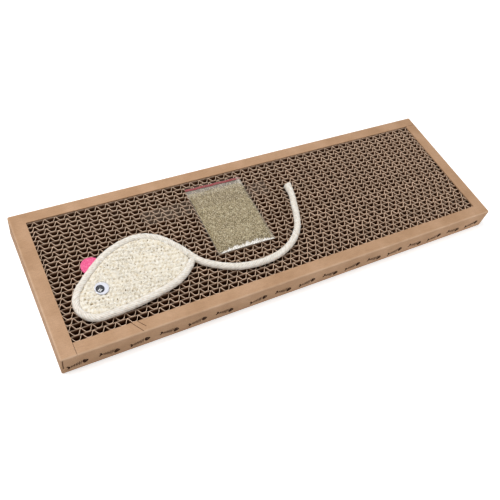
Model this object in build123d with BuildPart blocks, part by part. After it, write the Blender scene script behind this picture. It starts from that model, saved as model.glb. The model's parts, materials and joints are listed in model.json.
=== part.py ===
"""Flat cardboard cat scratcher with a loofah mouse and a taped bag of catnip.

A folded kraft tray holds a pad of corrugated strips stood on edge and glued side by side.
A flat loofah mouse, bound with cotton rope that runs on as its tail, is glued to the pad,
and a small grip-seal bag of catnip is taped down beside it.

Millimetres. The origin is the middle of the tray's underside: +X runs along the length,
+Y towards the back and +Z up.
"""
import os
from math import atan, atan2, ceil, cos, floor, pi, radians, sin, tan

from build123d import *

os.makedirs("parts", exist_ok=True)

# Kraft tray, folded from one blank
tray_length = 425.0
tray_width = 139.0
tray_height = 22.0
card_thickness = 1.2
end_flange = 12.3
side_flange = 10.8
fold_radius = 1.4
seam_width = 0.3
corner_slit_width = 0.7
corner_slit_foot = 8.0
flange_cut_width = 0.5
flange_cuts = [(-155.2, 9.8, -57.5), (-150.6, 6.6, -53.0)]

# Corrugated strips, stood on edge
board_thickness = 4.75
liner_thickness = 0.3
medium_thickness = 0.35
flute_pitch = 8.76
crest_width = 2.4
crest_radius = 0.9
least_glue_line = 0.08
pad_floor_gap = 0.05
pad_top_gap = 0.05
pad_side_gap = 0.05
pad_end_gap = 0.05
board_phases = [0.0, 0.37, 0.71]

# Rope of the mouse: where it leaves as the tail, and its bends from there back round the edge
rope_diameter = 6.0
rope_gap = 0.2
tail_exit = (-88.4, -17.3)
edge_heading = 117.5
edge_bends = [
    (105.0, 13.0),
    (31.6, 59.5),
    (70.0, 27.0),
    (195.0, 7.5),
    (26.5, 30.5),
    (14.6, 104.5),
    (220.0, 16.0),
    (45.0, 35.4),
]
tail_points = [
    tail_exit,
    (-84.3, -25.2),
    (-74.5, -32.8),
    (-61.9, -40.0),
    (-47.0, -44.2),
    (-30.0, -45.2),
    (-13.0, -42.6),
    (2.3, -35.2),
    (14.0, -23.8),
    (20.7, -10.2),
    (24.5, 1.9),
    (29.0, 13.4),
    (30.1, 24.3),
]
arc_share = 0.45

# Loofah body, ear and glue of the mouse
loofah_thickness = 4.5
glue_thickness = 0.4
glue_dot_diameter = 9.0
glue_dots = [(-168.0, -36.0), (-150.0, -16.0), (-143.0, -38.0), (-122.0, -2.0), (-112.0, -28.0)]
ear_centre = (-165.9, 0.6)
ear_radius = 8.3
ear_thickness = 2.0
ear_gap = 0.2

# Rolling eye
eye_centre = (-166.0, -24.5)
eye_diameter = 11.2
eye_backing_thickness = 0.8
dome_wall = 0.4
dome_skirt = 1.0
dome_rise = 2.6
pupil_diameter = 6.8
pupil_thickness = 0.6
pupil_gap = 0.1
pupil_side_gap = 0.35
pupil_direction = 188.0

# Grip-seal bag of catnip and the tape over it
bag_centre = (-36.2, 13.2)
bag_tilt = -1.0
bag_width = 55.0
bag_height = 76.0
bag_gap = 0.1
film_thickness = 0.2
film_gap = 0.1
side_seam = 2.5
bottom_seam = 2.5
fill_top_margin = 12.2
fill_depth = 3.6
fill_slope = 8.0
zip_drop = 2.4
zip_width = 2.6
zip_lip = 0.3
zip_bead_width = 0.9
zip_bead_height = 0.5
zip_play = 0.1
tape_width = 15.0
tape_thickness = 0.15
tape_gap = 0.1
tape_rise = 17.8
tape_left_tail = 46.0
tape_right_tail = 20.0

# Places that follow from the sizes above
window_length = tray_length - 2 * end_flange
window_width = tray_width - 2 * side_flange
strip_bottom = card_thickness + pad_floor_gap
strip_height = tray_height - 2 * card_thickness - pad_floor_gap - pad_top_gap
pad_top = strip_bottom + strip_height
strip_length = tray_length - 2 * (fold_radius + pad_end_gap)
pad_width = tray_width - 2 * (fold_radius + pad_side_gap)
strip_count = floor(pad_width / (board_thickness + least_glue_line))
strip_pitch = pad_width / strip_count
rope_radius = rope_diameter / 2
rope_height = pad_top + rope_gap + rope_radius
loofah_bottom = pad_top + glue_thickness
eye_bottom = loofah_bottom + loofah_thickness
bag_x_axis = (cos(radians(bag_tilt)), sin(radians(bag_tilt)), 0)
bag_plane = Plane(origin=(*bag_centre, pad_top + bag_gap), x_dir=bag_x_axis, z_dir=(0, 0, 1))


# Kraft tray: base, four walls and four flanges turned in over the pad
with BuildPart() as tray:
    Box(tray_length, tray_width, tray_height, align=(Align.CENTER, Align.CENTER, Align.MIN))
    fillet(tray.edges(), fold_radius)
    offset(amount=-card_thickness, mode=Mode.SUBTRACT)
    with BuildSketch(Plane.XY.offset(tray_height)):
        Rectangle(window_length, window_width)
        # Seam where the front flange butts against the left one
        with Locations((-window_length / 2, -window_width / 2)):
            Rectangle(seam_width, side_flange, align=(Align.MIN, Align.MAX))
        # Seam where the right flange butts against the back one
        with Locations((window_length / 2, window_width / 2)):
            Rectangle(end_flange, seam_width, align=(Align.MIN, Align.MAX))
        # Two slanting knife cuts in the front flange, from the window's edge
        for cut_x, cut_depth, cut_angle in flange_cuts:
            cut_length = cut_depth / sin(radians(-cut_angle))
            with Locations(Location((cut_x, -window_width / 2, 0), (0, 0, cut_angle))):
                Rectangle(cut_length, flange_cut_width, align=(Align.MIN, Align.CENTER))
    extrude(amount=-card_thickness, mode=Mode.SUBTRACT)
    # Open corner at the left end of the front wall
    with BuildSketch(Plane.XZ.offset(tray_width / 2)):
        with Locations((-tray_length / 2 + card_thickness, corner_slit_foot)):
            slit_height = tray_height - card_thickness - corner_slit_foot
            Rectangle(corner_slit_width, slit_height, align=(Align.MIN, Align.MIN))
    extrude(amount=-card_thickness, mode=Mode.SUBTRACT)
tray.part.label = "kraft_tray"
export_step(tray.part, "parts/kraft_tray.step")


# One flute: a four-sided cell between a liner and the bent medium, narrower and round at its crest
clear_height = board_thickness - 2 * liner_thickness
cell_height = clear_height - medium_thickness
medium_slope = atan2(cell_height, flute_pitch / 2 - crest_width)
cell_crest_half = crest_width / 2 - medium_thickness / 2 * tan(medium_slope / 2)
cell_foot_half = cell_crest_half + cell_height / tan(medium_slope)
with BuildSketch() as flute_cell:
    with BuildLine():
        Polyline(
            (-cell_foot_half, -clear_height / 2),
            (cell_foot_half, -clear_height / 2),
            (cell_crest_half, cell_height - clear_height / 2),
            (-cell_crest_half, cell_height - clear_height / 2),
            close=True,
        )
    make_face()
    fillet(flute_cell.vertices().group_by(Axis.Y)[-1], crest_radius)

# Boards with their flutes begun at different places, from which all strips are cut
flute_count = ceil(strip_length / flute_pitch) + 1
boards = []
for phase in board_phases:
    first_flute = -strip_length / 2 + (phase - 0.5) * flute_pitch
    crests = [(first_flute + number * flute_pitch, 0) for number in range(flute_count)]
    troughs = [(crest_x + flute_pitch / 2, 0) for crest_x, crest_y in crests]
    with BuildPart() as board:
        with BuildSketch(Plane.XY.offset(-strip_height / 2)):
            Rectangle(strip_length, board_thickness)
            with Locations(*crests):
                add(flute_cell.sketch, mode=Mode.SUBTRACT)
            with Locations(*troughs):
                add(flute_cell.sketch, rotation=180, mode=Mode.SUBTRACT)
        extrude(amount=strip_height)
    boards.append(board.part)

# Strips from the front wall to the back one, each turned end for end or upside down in its own way
for number in range(strip_count):
    strip_name = f"corrugated_strip_{number + 1:02d}"
    strip_y = (number + 0.5) * strip_pitch - pad_width / 2
    strip_turn = (180 * (number // 2 % 2), 0, 180 * (number // 3 % 2))
    with BuildPart() as strip:
        with Locations((0, strip_y, strip_bottom + strip_height / 2)):
            add(boards[number * 2 % len(boards)], rotation=strip_turn, clean=False)
    strip.part.label = strip_name
    export_step(strip.part, f"parts/{strip_name}.step", write_pcurves=False)


# Centreline of the rope round the mouse, as a chain of tangent arcs from the tail's exit
with BuildLine() as edge_line:
    bend_start = tail_exit
    bend_tangent = (cos(radians(edge_heading)), sin(radians(edge_heading)))
    for bend_radius, bend_turn in edge_bends:
        bend = JernArc(bend_start, bend_tangent, bend_radius, bend_turn)
        bend_start = bend @ 1
        bend_tangent = bend % 1
edge_wire = edge_line.wire()

# The mouse's flat shape inside that centreline
with BuildSketch() as mouse_shape:
    with BuildLine():
        add(edge_line.line)
        Line(edge_wire @ 1, edge_wire @ 0)
    make_face()

with BuildPart() as edge_rope:
    with BuildLine():
        add(edge_line.line.moved(Location((0, 0, rope_height))))
    with BuildSketch(Plane(origin=(*tail_exit, rope_height), z_dir=edge_wire % 0)):
        Circle(rope_radius)
    sweep()
edge_rope.part.label = "edge_rope"
export_step(edge_rope.part, "parts/edge_rope.step")

# Tail: the same rope, lying free on the pad from the exit to its cut end
tail_nodes = [Vector(x, y, rope_height) for x, y in tail_points]
tail_radii = []
for before, corner, after in zip(tail_nodes, tail_nodes[1:], tail_nodes[2:]):
    half_turn = radians((corner - before).get_angle(after - corner)) / 2
    shorter_run = min((corner - before).length, (after - corner).length)
    tail_radii.append(arc_share * shorter_run / tan(half_turn))
with BuildPart() as rope_tail:
    with BuildLine() as tail_line:
        FilletPolyline(*tail_nodes, radius=tail_radii)
    with BuildSketch(Plane(origin=tail_nodes[0], z_dir=tail_nodes[1] - tail_nodes[0])):
        Circle(rope_radius)
    sweep()
rope_tail.part.label = "rope_tail"
export_step(rope_tail.part, "parts/rope_tail.step")
tail_length = tail_line.wire().length
tail_volume_ratio = rope_tail.part.volume / (pi * rope_radius**2 * tail_length)
print("tail length", round(tail_length, 1), "volume over section times length", round(tail_volume_ratio, 4))
print("tail radii", [round(radius, 1) for radius in tail_radii])

with BuildPart() as loofah_body:
    with BuildSketch(Plane.XY.offset(loofah_bottom)):
        add(mouse_shape.sketch)
        offset(amount=-(rope_radius + rope_gap), mode=Mode.REPLACE)
    extrude(amount=loofah_thickness)
loofah_body.part.label = "loofah_body"
export_step(loofah_body.part, "parts/loofah_body.step")

# Dots of hot-melt glue that hold the mouse to the pad
with BuildPart() as mouse_glue:
    with BuildSketch(Plane.XY.offset(pad_top)):
        with Locations(*glue_dots):
            Circle(glue_dot_diameter / 2)
    extrude(amount=glue_thickness)
mouse_glue.part.label = "mouse_glue_dots"
export_step(mouse_glue.part, "parts/mouse_glue_dots.step")

# Felt ear, cut off where it goes in under the rope
with BuildSketch() as rope_outside:
    add(mouse_shape.sketch)
    offset(amount=rope_radius + ear_gap, mode=Mode.REPLACE)
with BuildPart() as felt_ear:
    with BuildSketch(Plane.XY.offset(pad_top + ear_gap)):
        with Locations(ear_centre):
            Circle(ear_radius)
        add(rope_outside.sketch, mode=Mode.SUBTRACT)
    extrude(amount=ear_thickness)
felt_ear.part.label = "felt_ear"
export_step(felt_ear.part, "parts/felt_ear.step")


# Rolling eye: white backing, loose black pupil and clear dome
eye_radius = eye_diameter / 2
pupil_reach = eye_radius - dome_wall - pupil_side_gap - pupil_diameter / 2
pupil_centre = (
    eye_centre[0] + pupil_reach * cos(radians(pupil_direction)),
    eye_centre[1] + pupil_reach * sin(radians(pupil_direction)),
)
with BuildPart() as eye_backing:
    with BuildSketch(Plane.XY.offset(eye_bottom)):
        with Locations(eye_centre):
            Circle(eye_radius)
    extrude(amount=eye_backing_thickness)
eye_backing.part.label = "eye_backing"
export_step(eye_backing.part, "parts/eye_backing.step")

with BuildPart() as eye_pupil:
    with BuildSketch(Plane.XY.offset(eye_bottom + eye_backing_thickness + pupil_gap)):
        with Locations(pupil_centre):
            Circle(pupil_diameter / 2)
    extrude(amount=pupil_thickness)
eye_pupil.part.label = "eye_pupil"
export_step(eye_pupil.part, "parts/eye_pupil.step")


def dome_arc(radius, rise):
    """Draws half of a shallow cap, from its rim at the skirt's top to its crown on the axis."""
    sphere_radius = (radius**2 + rise**2) / (2 * rise)
    half_angle = atan(radius / (sphere_radius - rise)) / 2
    middle_x = sphere_radius * sin(half_angle)
    middle_y = dome_skirt + rise - sphere_radius * (1 - cos(half_angle))
    return ThreePointArc((radius, dome_skirt), (middle_x, middle_y), (0, dome_skirt + rise))


dome_plane = Plane(origin=(*eye_centre, eye_bottom + eye_backing_thickness), x_dir=(1, 0, 0), z_dir=(0, -1, 0))
with BuildPart() as eye_dome:
    with BuildSketch(dome_plane):
        with BuildLine():
            outer_cap = dome_arc(eye_radius, dome_rise)
            inner_cap = dome_arc(eye_radius - dome_wall, dome_rise - dome_wall)
            Line((eye_radius - dome_wall, 0), (eye_radius, 0))
            Line((eye_radius, 0), (eye_radius, dome_skirt))
            Line((0, dome_skirt + dome_rise - dome_wall), (0, dome_skirt + dome_rise))
            Line((eye_radius - dome_wall, 0), (eye_radius - dome_wall, dome_skirt))
        make_face()
    revolve(axis=Axis((*eye_centre, 0), (0, 0, 1)))
eye_dome.part.label = "eye_dome"
export_step(eye_dome.part, "parts/eye_dome.step")


# Catnip bag: two films welded round the edge, a press-to-close zip and the fill between them
fill_width = bag_width - 2 * side_seam
fill_length = bag_height - bottom_seam - fill_top_margin
fill_middle = (bottom_seam - fill_top_margin) / 2
zip_middle = bag_height / 2 - zip_drop
zip_height = 2 * zip_lip + zip_bead_height + zip_play
fill_bottom = film_thickness + film_gap
fill_top = fill_bottom + fill_depth


def fill_spread(skin, height):
    """Gives how far a face lies outside the fill's foot, at a height, a skin's thickness off its slopes."""
    slope_angle = atan(fill_depth / fill_slope)
    return skin / sin(slope_angle) - (height - fill_bottom) / tan(slope_angle)


def fill_block(skin, bottom, top, mode=Mode.ADD):
    """Lofts the fill's pillow shape, a skin's thickness larger, between two heights over the back film."""
    foot_spread = 2 * fill_spread(skin, bottom)
    crown_spread = 2 * fill_spread(skin, top)
    with BuildSketch(bag_plane.offset(bottom)) as foot:
        with Locations((0, fill_middle)):
            Rectangle(fill_width + foot_spread, fill_length + foot_spread)
    with BuildSketch(bag_plane.offset(top)) as crown:
        with Locations((0, fill_middle)):
            Rectangle(fill_width + crown_spread, fill_length + crown_spread)
    loft([foot.sketch, crown.sketch], mode=mode)


def strip_across(width, bottom, height, mode=Mode.ADD):
    """Adds a straight strip across the whole bag along the zip's line."""
    with BuildSketch(bag_plane.offset(bottom)) as band:
        with Locations((0, zip_middle)):
            Rectangle(bag_width, width)
    extrude(band.sketch, amount=height, mode=mode)


with BuildPart() as back_film:
    with BuildSketch(bag_plane):
        Rectangle(bag_width, bag_height)
    extrude(amount=film_thickness)
back_film.part.label = "bag_back_film"
export_step(back_film.part, "parts/bag_back_film.step")

with BuildPart() as catnip:
    fill_block(0, fill_bottom, fill_top)
catnip.part.label = "catnip_fill"
export_step(catnip.part, "parts/catnip_fill.step")

with BuildPart() as front_film:
    with BuildSketch(bag_plane.offset(film_thickness)):
        Rectangle(bag_width, bag_height)
    extrude(amount=film_thickness)
    fill_block(film_gap + film_thickness, film_thickness, fill_top + film_gap + film_thickness)
    fill_block(film_gap, film_thickness, fill_top + film_gap, mode=Mode.SUBTRACT)
    strip_across(zip_width + 2 * (film_gap + film_thickness), film_thickness, zip_height + film_gap + film_thickness)
    strip_across(zip_width + 2 * film_gap, film_thickness, zip_height + film_gap, mode=Mode.SUBTRACT)
front_film.part.label = "bag_front_film"
export_step(front_film.part, "parts/bag_front_film.step")

# Zip: a rib on the back film that presses into a channel under the front one
with BuildPart() as zip_rib:
    strip_across(zip_width, film_thickness, zip_lip)
    strip_across(zip_bead_width, film_thickness + zip_lip, zip_bead_height)
zip_rib.part.label = "bag_zip_rib"
export_step(zip_rib.part, "parts/bag_zip_rib.step")

channel_bottom = film_thickness + zip_lip
with BuildPart() as zip_channel:
    strip_across(zip_width, channel_bottom, zip_bead_height + zip_play + zip_lip)
    strip_across(zip_bead_width + 2 * zip_play, channel_bottom, zip_bead_height + zip_play, mode=Mode.SUBTRACT)
zip_channel.part.label = "bag_zip_channel"
export_step(zip_channel.part, "parts/bag_zip_channel.step")

# Clear tape over the bag, stuck to the pad at both ends
tape_plane = Plane(
    origin=bag_plane.from_local_coords((0, tape_rise, 0)),
    x_dir=bag_plane.x_dir,
    z_dir=-bag_plane.y_dir,
)
tape_on_pad = tape_gap - bag_gap
tape_on_rim = 2 * film_thickness + tape_gap
tape_on_fill = fill_top + film_gap + film_thickness + tape_gap
tape_skin = film_gap + film_thickness + tape_gap
rim_half = bag_width / 2 + tape_gap
foot_half = fill_width / 2 + fill_spread(tape_skin, tape_on_rim)
crown_half = fill_width / 2 + fill_spread(tape_skin, tape_on_fill)
tape_under = [
    (-bag_width / 2 - tape_left_tail, tape_on_pad),
    (-rim_half, tape_on_pad),
    (-rim_half, tape_on_rim),
    (-foot_half, tape_on_rim),
    (-crown_half, tape_on_fill),
    (crown_half, tape_on_fill),
    (foot_half, tape_on_rim),
    (rim_half, tape_on_rim),
    (rim_half, tape_on_pad),
    (bag_width / 2 + tape_right_tail, tape_on_pad),
]
with BuildPart() as bag_tape:
    with BuildSketch(tape_plane):
        with BuildLine():
            Polyline(*tape_under)
            offset(amount=tape_thickness, kind=Kind.INTERSECTION, side=Side.LEFT)
        make_face()
    extrude(amount=tape_width / 2, both=True)
bag_tape.part.label = "bag_tape"
export_step(bag_tape.part, "parts/bag_tape.step")
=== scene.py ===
"""Looks of a flat cardboard cat scratcher: tray, corrugated pad, loofah mouse and a taped bag of catnip.

Metres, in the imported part's own frame: +X along the tray, +Y towards its back and +Z up, with the origin in
the middle of the tray's underside. Each sub-assembly is a class that builds its meshes with numpy and
dresses them.
"""

import json
import logging
from dataclasses import dataclass, field
from enum import Enum
from math import ceil, cos, pi, radians, sin
from typing import Sequence

import bpy
import numpy as np
from mathutils import Matrix, Vector

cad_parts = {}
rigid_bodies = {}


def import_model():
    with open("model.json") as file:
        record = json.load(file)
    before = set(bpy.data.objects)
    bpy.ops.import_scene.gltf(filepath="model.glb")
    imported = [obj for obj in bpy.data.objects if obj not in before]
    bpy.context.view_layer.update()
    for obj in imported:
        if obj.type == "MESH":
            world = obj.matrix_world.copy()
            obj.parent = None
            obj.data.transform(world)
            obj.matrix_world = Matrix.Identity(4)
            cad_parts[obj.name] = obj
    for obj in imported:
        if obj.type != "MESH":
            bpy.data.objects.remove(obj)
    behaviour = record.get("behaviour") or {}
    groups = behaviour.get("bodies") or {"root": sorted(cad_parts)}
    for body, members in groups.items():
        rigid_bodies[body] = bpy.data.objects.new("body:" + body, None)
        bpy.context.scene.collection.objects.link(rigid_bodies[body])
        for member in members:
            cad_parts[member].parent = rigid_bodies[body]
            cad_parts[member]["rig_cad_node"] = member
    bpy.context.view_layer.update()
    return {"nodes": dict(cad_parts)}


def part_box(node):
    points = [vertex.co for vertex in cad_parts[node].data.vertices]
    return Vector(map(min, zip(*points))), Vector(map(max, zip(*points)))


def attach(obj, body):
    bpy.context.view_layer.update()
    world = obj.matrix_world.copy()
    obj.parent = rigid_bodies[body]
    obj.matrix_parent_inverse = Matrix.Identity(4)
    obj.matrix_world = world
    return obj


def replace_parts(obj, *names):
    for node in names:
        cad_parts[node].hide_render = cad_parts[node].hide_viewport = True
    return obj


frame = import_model()

LOG = logging.getLogger("scratcher")
Array = np.ndarray
Socket = bpy.types.NodeSocket
Colour = tuple[float, float, float, float]
Point = tuple[float, float, float]


class Body(Enum):
    """The bodies that pieces ride on."""

    SCRATCHER = "scratcher"
    PUPIL = "pupil"
    CATNIP_BAG = "catnip_bag"


def srgb(red: int, green: int, blue: int) -> Colour:
    """Turns a colour as seen on a screen, 0 to 255, into the linear colour that shaders take.

    Args:
        red, green, blue: the screen colour's parts.

    Returns:
        The linear colour with full opacity.
    """
    seen = np.array((red, green, blue)) / 255
    linear = np.where(seen <= 0.04045, seen / 12.92, ((seen + 0.055) / 1.055) ** 2.4)
    return (*linear.tolist(), 1.0)


def smooth_step(value: Array, start: float, end: float) -> Array:
    """Rises from 0 at start to 1 at end along a cubic with level ends."""
    share = np.clip((value - start) / (end - start), 0, 1)
    return share * share * (3 - 2 * share)


@dataclass(frozen=True)
class RandomWaves:
    """A smooth random field: the sum of sines of about one wavelength, in random directions and phases.

    Attributes:
        wavelength: the mean distance between crests.
        seed: picks the directions and phases.
        count: how many sines are summed.
        spread: how far each sine's own wavelength may stray, as a share.
    """

    wavelength: float
    seed: int
    count: int = 14
    spread: float = 0.35

    def at(self, x: Array, y: Array | float = 0.0) -> Array:
        """Gives the field at points, with a mean of 0 and a spread of about 1.

        Args:
            x, y: the points' coordinates, which broadcast together.

        Returns:
            One value for each point.
        """
        rng = np.random.default_rng(self.seed)
        turns = rng.uniform(0, 2 * pi, self.count)
        numbers = 2 * pi / (self.wavelength * rng.uniform(1 - self.spread, 1 + self.spread, self.count))
        phases = rng.uniform(0, 2 * pi, self.count)
        total = np.zeros(np.broadcast(x, y).shape)
        for turn, number, phase in zip(turns, numbers, phases):
            total += np.sin(number * (np.cos(turn) * x + np.sin(turn) * y) + phase)
        return total * np.sqrt(2 / self.count)


def grid_quads(rows: int, columns: int, wrap: bool = False) -> Array:
    """Numbers the corners of the quads between the points of a grid.

    Args:
        rows, columns: the grid's size.
        wrap: joins the last column to the first.

    Returns:
        An array of quads by 4 point numbers, which face along rows cross columns.
    """
    number = np.arange(rows * columns).reshape(rows, columns)
    if wrap:
        number = np.concatenate([number, number[:, :1]], axis=1)
    corners = (number[:-1, :-1], number[1:, :-1], number[1:, 1:], number[:-1, 1:])
    return np.stack(corners, axis=-1).reshape(-1, 4)


def grid_border(rows: int, columns: int) -> Array:
    """Numbers the points round the edge of a grid, in order."""
    number = np.arange(rows * columns).reshape(rows, columns)
    return np.concatenate([number[:-1, 0], number[-1, :-1], number[:0:-1, -1], number[0, :0:-1]])


def tube_triangles(rings: int, around: int) -> Array:
    """Numbers the triangles of a tube of rings, with a fan over the points of its first and last ring.

    Args:
        rings: how many rings the tube has.
        around: points round each ring.

    Returns:
        An array of triangles by 3 point numbers.
    """
    quads = grid_quads(rings, around, wrap=True)
    walls = np.concatenate([quads[:, [0, 1, 2]], quads[:, [0, 2, 3]]])
    fan = np.arange(1, around - 1)
    first = np.stack([np.zeros_like(fan), fan, fan + 1], axis=1)
    last = np.stack([np.zeros_like(fan), fan + 1, fan], axis=1) + (rings - 1) * around
    return np.concatenate([walls, first, last])


class Shells:
    """Closed surfaces gathered into one mesh, with one shade value for each point."""

    def __init__(self) -> None:
        """Starts with no surface."""
        self.points: list[Array] = []
        self.shades: list[Array] = []
        self.faces: list[Array] = []
        self.count = 0

    def add(self, points: Array, faces: Array, shade: Array | float = 0.5) -> None:
        """Adds closed surfaces and turns their faces outwards, by the sign of the volume that they enclose.

        Args:
            points: an array of points by 3.
            faces: an array of faces by 3 or 4 point numbers.
            shade: a value for each point, or one for all, that the finish may read.
        """
        first, second, third, last = (points[faces[:, corner]] for corner in (0, 1, 2, -1))
        volume = np.sum(first * (np.cross(second, third) + np.cross(third, last)))
        self.points.append(points)
        self.shades.append(np.broadcast_to(shade, len(points)))
        self.faces.append((faces if volume > 0 else faces[:, ::-1]) + self.count)
        self.count += len(points)

    def add_tube(self, grid: Array, shade: Array | float = 0.5) -> None:
        """Adds rings of points joined into a tube with flat ends.

        Args:
            grid: an array of rings by points round a ring by 3.
            shade: a value for each ring and point, or one for all.
        """
        shades = np.broadcast_to(shade, grid.shape[:2])
        self.add(grid.reshape(-1, 3), tube_triangles(*grid.shape[:2]), shades.ravel())

    def add_hoop(self, grid: Array) -> None:
        """Adds rings of points joined into a hoop, the last ring to the first.

        Args:
            grid: an array of rings by points round a ring by 3.
        """
        rings, around = grid.shape[:2]
        faces = grid_quads(rings + 1, around, wrap=True) % (rings * around)
        self.add(grid.reshape(-1, 3), faces)

    def add_sheet(self, front: Array, back: Array, shade: Array | float = 0.5) -> None:
        """Adds a thin closed sheet: two grids of the same size, joined round their edges.

        Args:
            front, back: arrays of rows by columns by 3.
            shade: a value for each row and column, or one for all.
        """
        rows, columns = front.shape[:2]
        size = rows * columns
        face = grid_quads(rows, columns)
        border = grid_border(rows, columns)
        after = np.roll(border, -1)
        rim = np.stack([border, after, after + size, border + size], axis=1)
        faces = np.concatenate([face, face[:, ::-1] + size, rim])
        points = np.concatenate([front.reshape(-1, 3), back.reshape(-1, 3)])
        self.add(points, faces, np.tile(np.broadcast_to(shade, (rows, columns)).ravel(), 2))

    def add_copies(self, points: Array, faces: Array, shade: Array | float = 0.5) -> None:
        """Adds many small closed shapes that share one set of faces.

        Args:
            points: an array of shapes by points by 3.
            faces: the faces of one shape.
            shade: one value for each shape, or one for all.
        """
        shapes, each = points.shape[:2]
        offsets = np.arange(shapes)[:, None, None] * each
        shades = np.repeat(np.broadcast_to(shade, shapes), each)
        self.add(points.reshape(-1, 3), (faces[None] + offsets).reshape(-1, faces.shape[1]), shades)

    def piece(self, name: str, finish: "Finish", body: Body, smooth_angle: float = 180.0) -> bpy.types.Object:
        """Makes the mesh and its object, dresses it and sets it on its body.

        Args:
            name: the piece's name.
            finish: what it is dressed in.
            body: the body that it rides on.
            smooth_angle: edges sharper than this, in degrees, stay sharp.

        Returns:
            The new object.
        """
        mesh = bpy.data.meshes.new(name)
        rows = [row for surface in self.faces for row in surface.tolist()]
        mesh.from_pydata(np.concatenate(self.points).tolist(), [], rows)
        shade = mesh.attributes.new("shade", "FLOAT", "POINT")
        shade.data.foreach_set("value", np.concatenate(self.shades).astype(np.float32))
        mesh.shade_smooth()
        mesh.set_sharp_from_angle(angle=radians(smooth_angle))
        mesh.validate()
        thing = bpy.data.objects.new(name, mesh)
        bpy.context.scene.collection.objects.link(thing)
        finish.dress(thing)
        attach(thing, body.value)
        LOG.info("%s: %d faces on %s", name, len(mesh.polygons), body.value)
        return thing


class Graph:
    """A material's nodes, with short calls for those that the finishes share."""

    def __init__(self, name: str) -> None:
        """Makes the material and keeps its main shader.

        Args:
            name: the material's name.
        """
        self.material = bpy.data.materials.new(name)
        self.material.use_nodes = True
        self.nodes = self.material.node_tree.nodes
        self.links = self.material.node_tree.links
        self.shader = self.nodes["Principled BSDF"]

    def set(self, **values: object) -> None:
        """Sets or links the main shader's sockets; an underscore in a name stands for a space."""
        for name, value in values.items():
            self.feed(self.shader.inputs[name.replace("_", " ")], value)

    def feed(self, socket: Socket, value: object) -> None:
        """Links a node's output to a socket, or sets the socket to a plain value.

        Args:
            socket: what is fed.
            value: an output or a plain value.
        """
        if isinstance(value, Socket):
            self.links.new(value, socket)
        else:
            socket.default_value = value

    def place(self, scale: Sequence[float] = (1, 1, 1)) -> Socket:
        """Gives the object's own coordinates, stretched by a scale along each axis.

        Args:
            scale: the stretch along X, Y and Z.

        Returns:
            The coordinates.
        """
        source = self.nodes.new("ShaderNodeTexCoord").outputs["Object"]
        mapping = self.nodes.new("ShaderNodeMapping")
        mapping.inputs["Scale"].default_value = scale
        self.links.new(source, mapping.inputs["Vector"])
        return mapping.outputs["Vector"]

    def attribute(self, name: str) -> Socket:
        """Reads a value that the mesh holds for each point.

        Args:
            name: the attribute's name.

        Returns:
            The value.
        """
        node = self.nodes.new("ShaderNodeAttribute")
        node.attribute_name = name
        return node.outputs["Fac"]

    def noise(self, where: Socket, scale: float, detail: float = 4.0) -> Socket:
        """Adds a noise pattern.

        Args:
            where: the coordinates that it reads.
            scale: how fine it is, in features to the metre.
            detail: how many finer layers lie over it.

        Returns:
            Its value, about 0.5 in the mean.
        """
        node = self.nodes.new("ShaderNodeTexNoise")
        node.inputs["Scale"].default_value = scale
        node.inputs["Detail"].default_value = detail
        self.links.new(where, node.inputs["Vector"])
        return node.outputs["Fac"]

    def math(self, operation: str, first: object, second: object = 0.0, clamp: bool = False) -> Socket:
        """Adds one sum, product or other operation on values.

        Args:
            operation: Blender's name for it.
            first, second: outputs or plain values.
            clamp: holds the result between 0 and 1.

        Returns:
            The result.
        """
        node = self.nodes.new("ShaderNodeMath")
        node.operation = operation
        node.use_clamp = clamp
        self.feed(node.inputs[0], first)
        self.feed(node.inputs[1], second)
        return node.outputs[0]

    def span(self, value: object, low: float, high: float, start: float = 0.0, end: float = 1.0) -> Socket:
        """Maps a value from low and high to start and end, and holds it between them.

        Args:
            value: what is mapped.
            low, high: its own range.
            start, end: the range that it is mapped to.

        Returns:
            The mapped value.
        """
        node = self.nodes.new("ShaderNodeMapRange")
        self.feed(node.inputs["Value"], value)
        for name, limit in {"From Min": low, "From Max": high, "To Min": start, "To Max": end}.items():
            node.inputs[name].default_value = limit
        return node.outputs["Result"]

    def ramp(self, value: Socket, stops: Sequence[tuple[float, Colour]]) -> Socket:
        """Turns a value into a colour along a row of stops.

        Args:
            value: a place along the row, from 0 to 1.
            stops: each stop's place and colour.

        Returns:
            The colour.
        """
        node = self.nodes.new("ShaderNodeValToRGB")
        elements = node.color_ramp.elements
        for _ in stops[2:]:
            elements.new(0.5)
        for element, (position, colour) in zip(elements, stops):
            element.position = position
            element.color = colour
        self.links.new(value, node.inputs["Fac"])
        return node.outputs["Color"]

    def mix(self, share: object, first: object, second: object, blend: str = "MIX") -> Socket:
        """Mixes two colours by a share from 0 to 1.

        Args:
            share: how much of the second there is.
            first, second: outputs or plain colours.
            blend: Blender's name for the way of mixing.

        Returns:
            The mixed colour.
        """
        node = self.nodes.new("ShaderNodeMix")
        node.data_type = "RGBA"
        node.blend_type = blend
        self.feed(node.inputs["Factor"], share)
        colours = [socket for socket in node.inputs if socket.type == "RGBA"]
        self.feed(colours[0], first)
        self.feed(colours[1], second)
        return next(socket for socket in node.outputs if socket.type == "RGBA")

    def shaded(self, colour: object, *shades: object) -> Socket:
        """Multiplies a colour by one or more plain values, which may be over 1.

        Args:
            colour: an output or a plain colour.
            shades: outputs or plain values.

        Returns:
            The product.
        """
        grey = self.nodes.new("ShaderNodeCombineColor")
        product = shades[0]
        for shade in shades[1:]:
            product = self.math("MULTIPLY", product, shade)
        for socket in grey.inputs:
            self.feed(socket, product)
        return self.mix(1.0, colour, grey.outputs["Color"], "MULTIPLY")

    def axes(self) -> dict[str, Socket]:
        """Gives the object's own X, Y and Z as single values.

        Returns:
            A value for each axis's name.
        """
        split = self.nodes.new("ShaderNodeSeparateXYZ")
        self.links.new(self.place(), split.inputs[0])
        return {socket.name: socket for socket in split.outputs}

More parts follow.
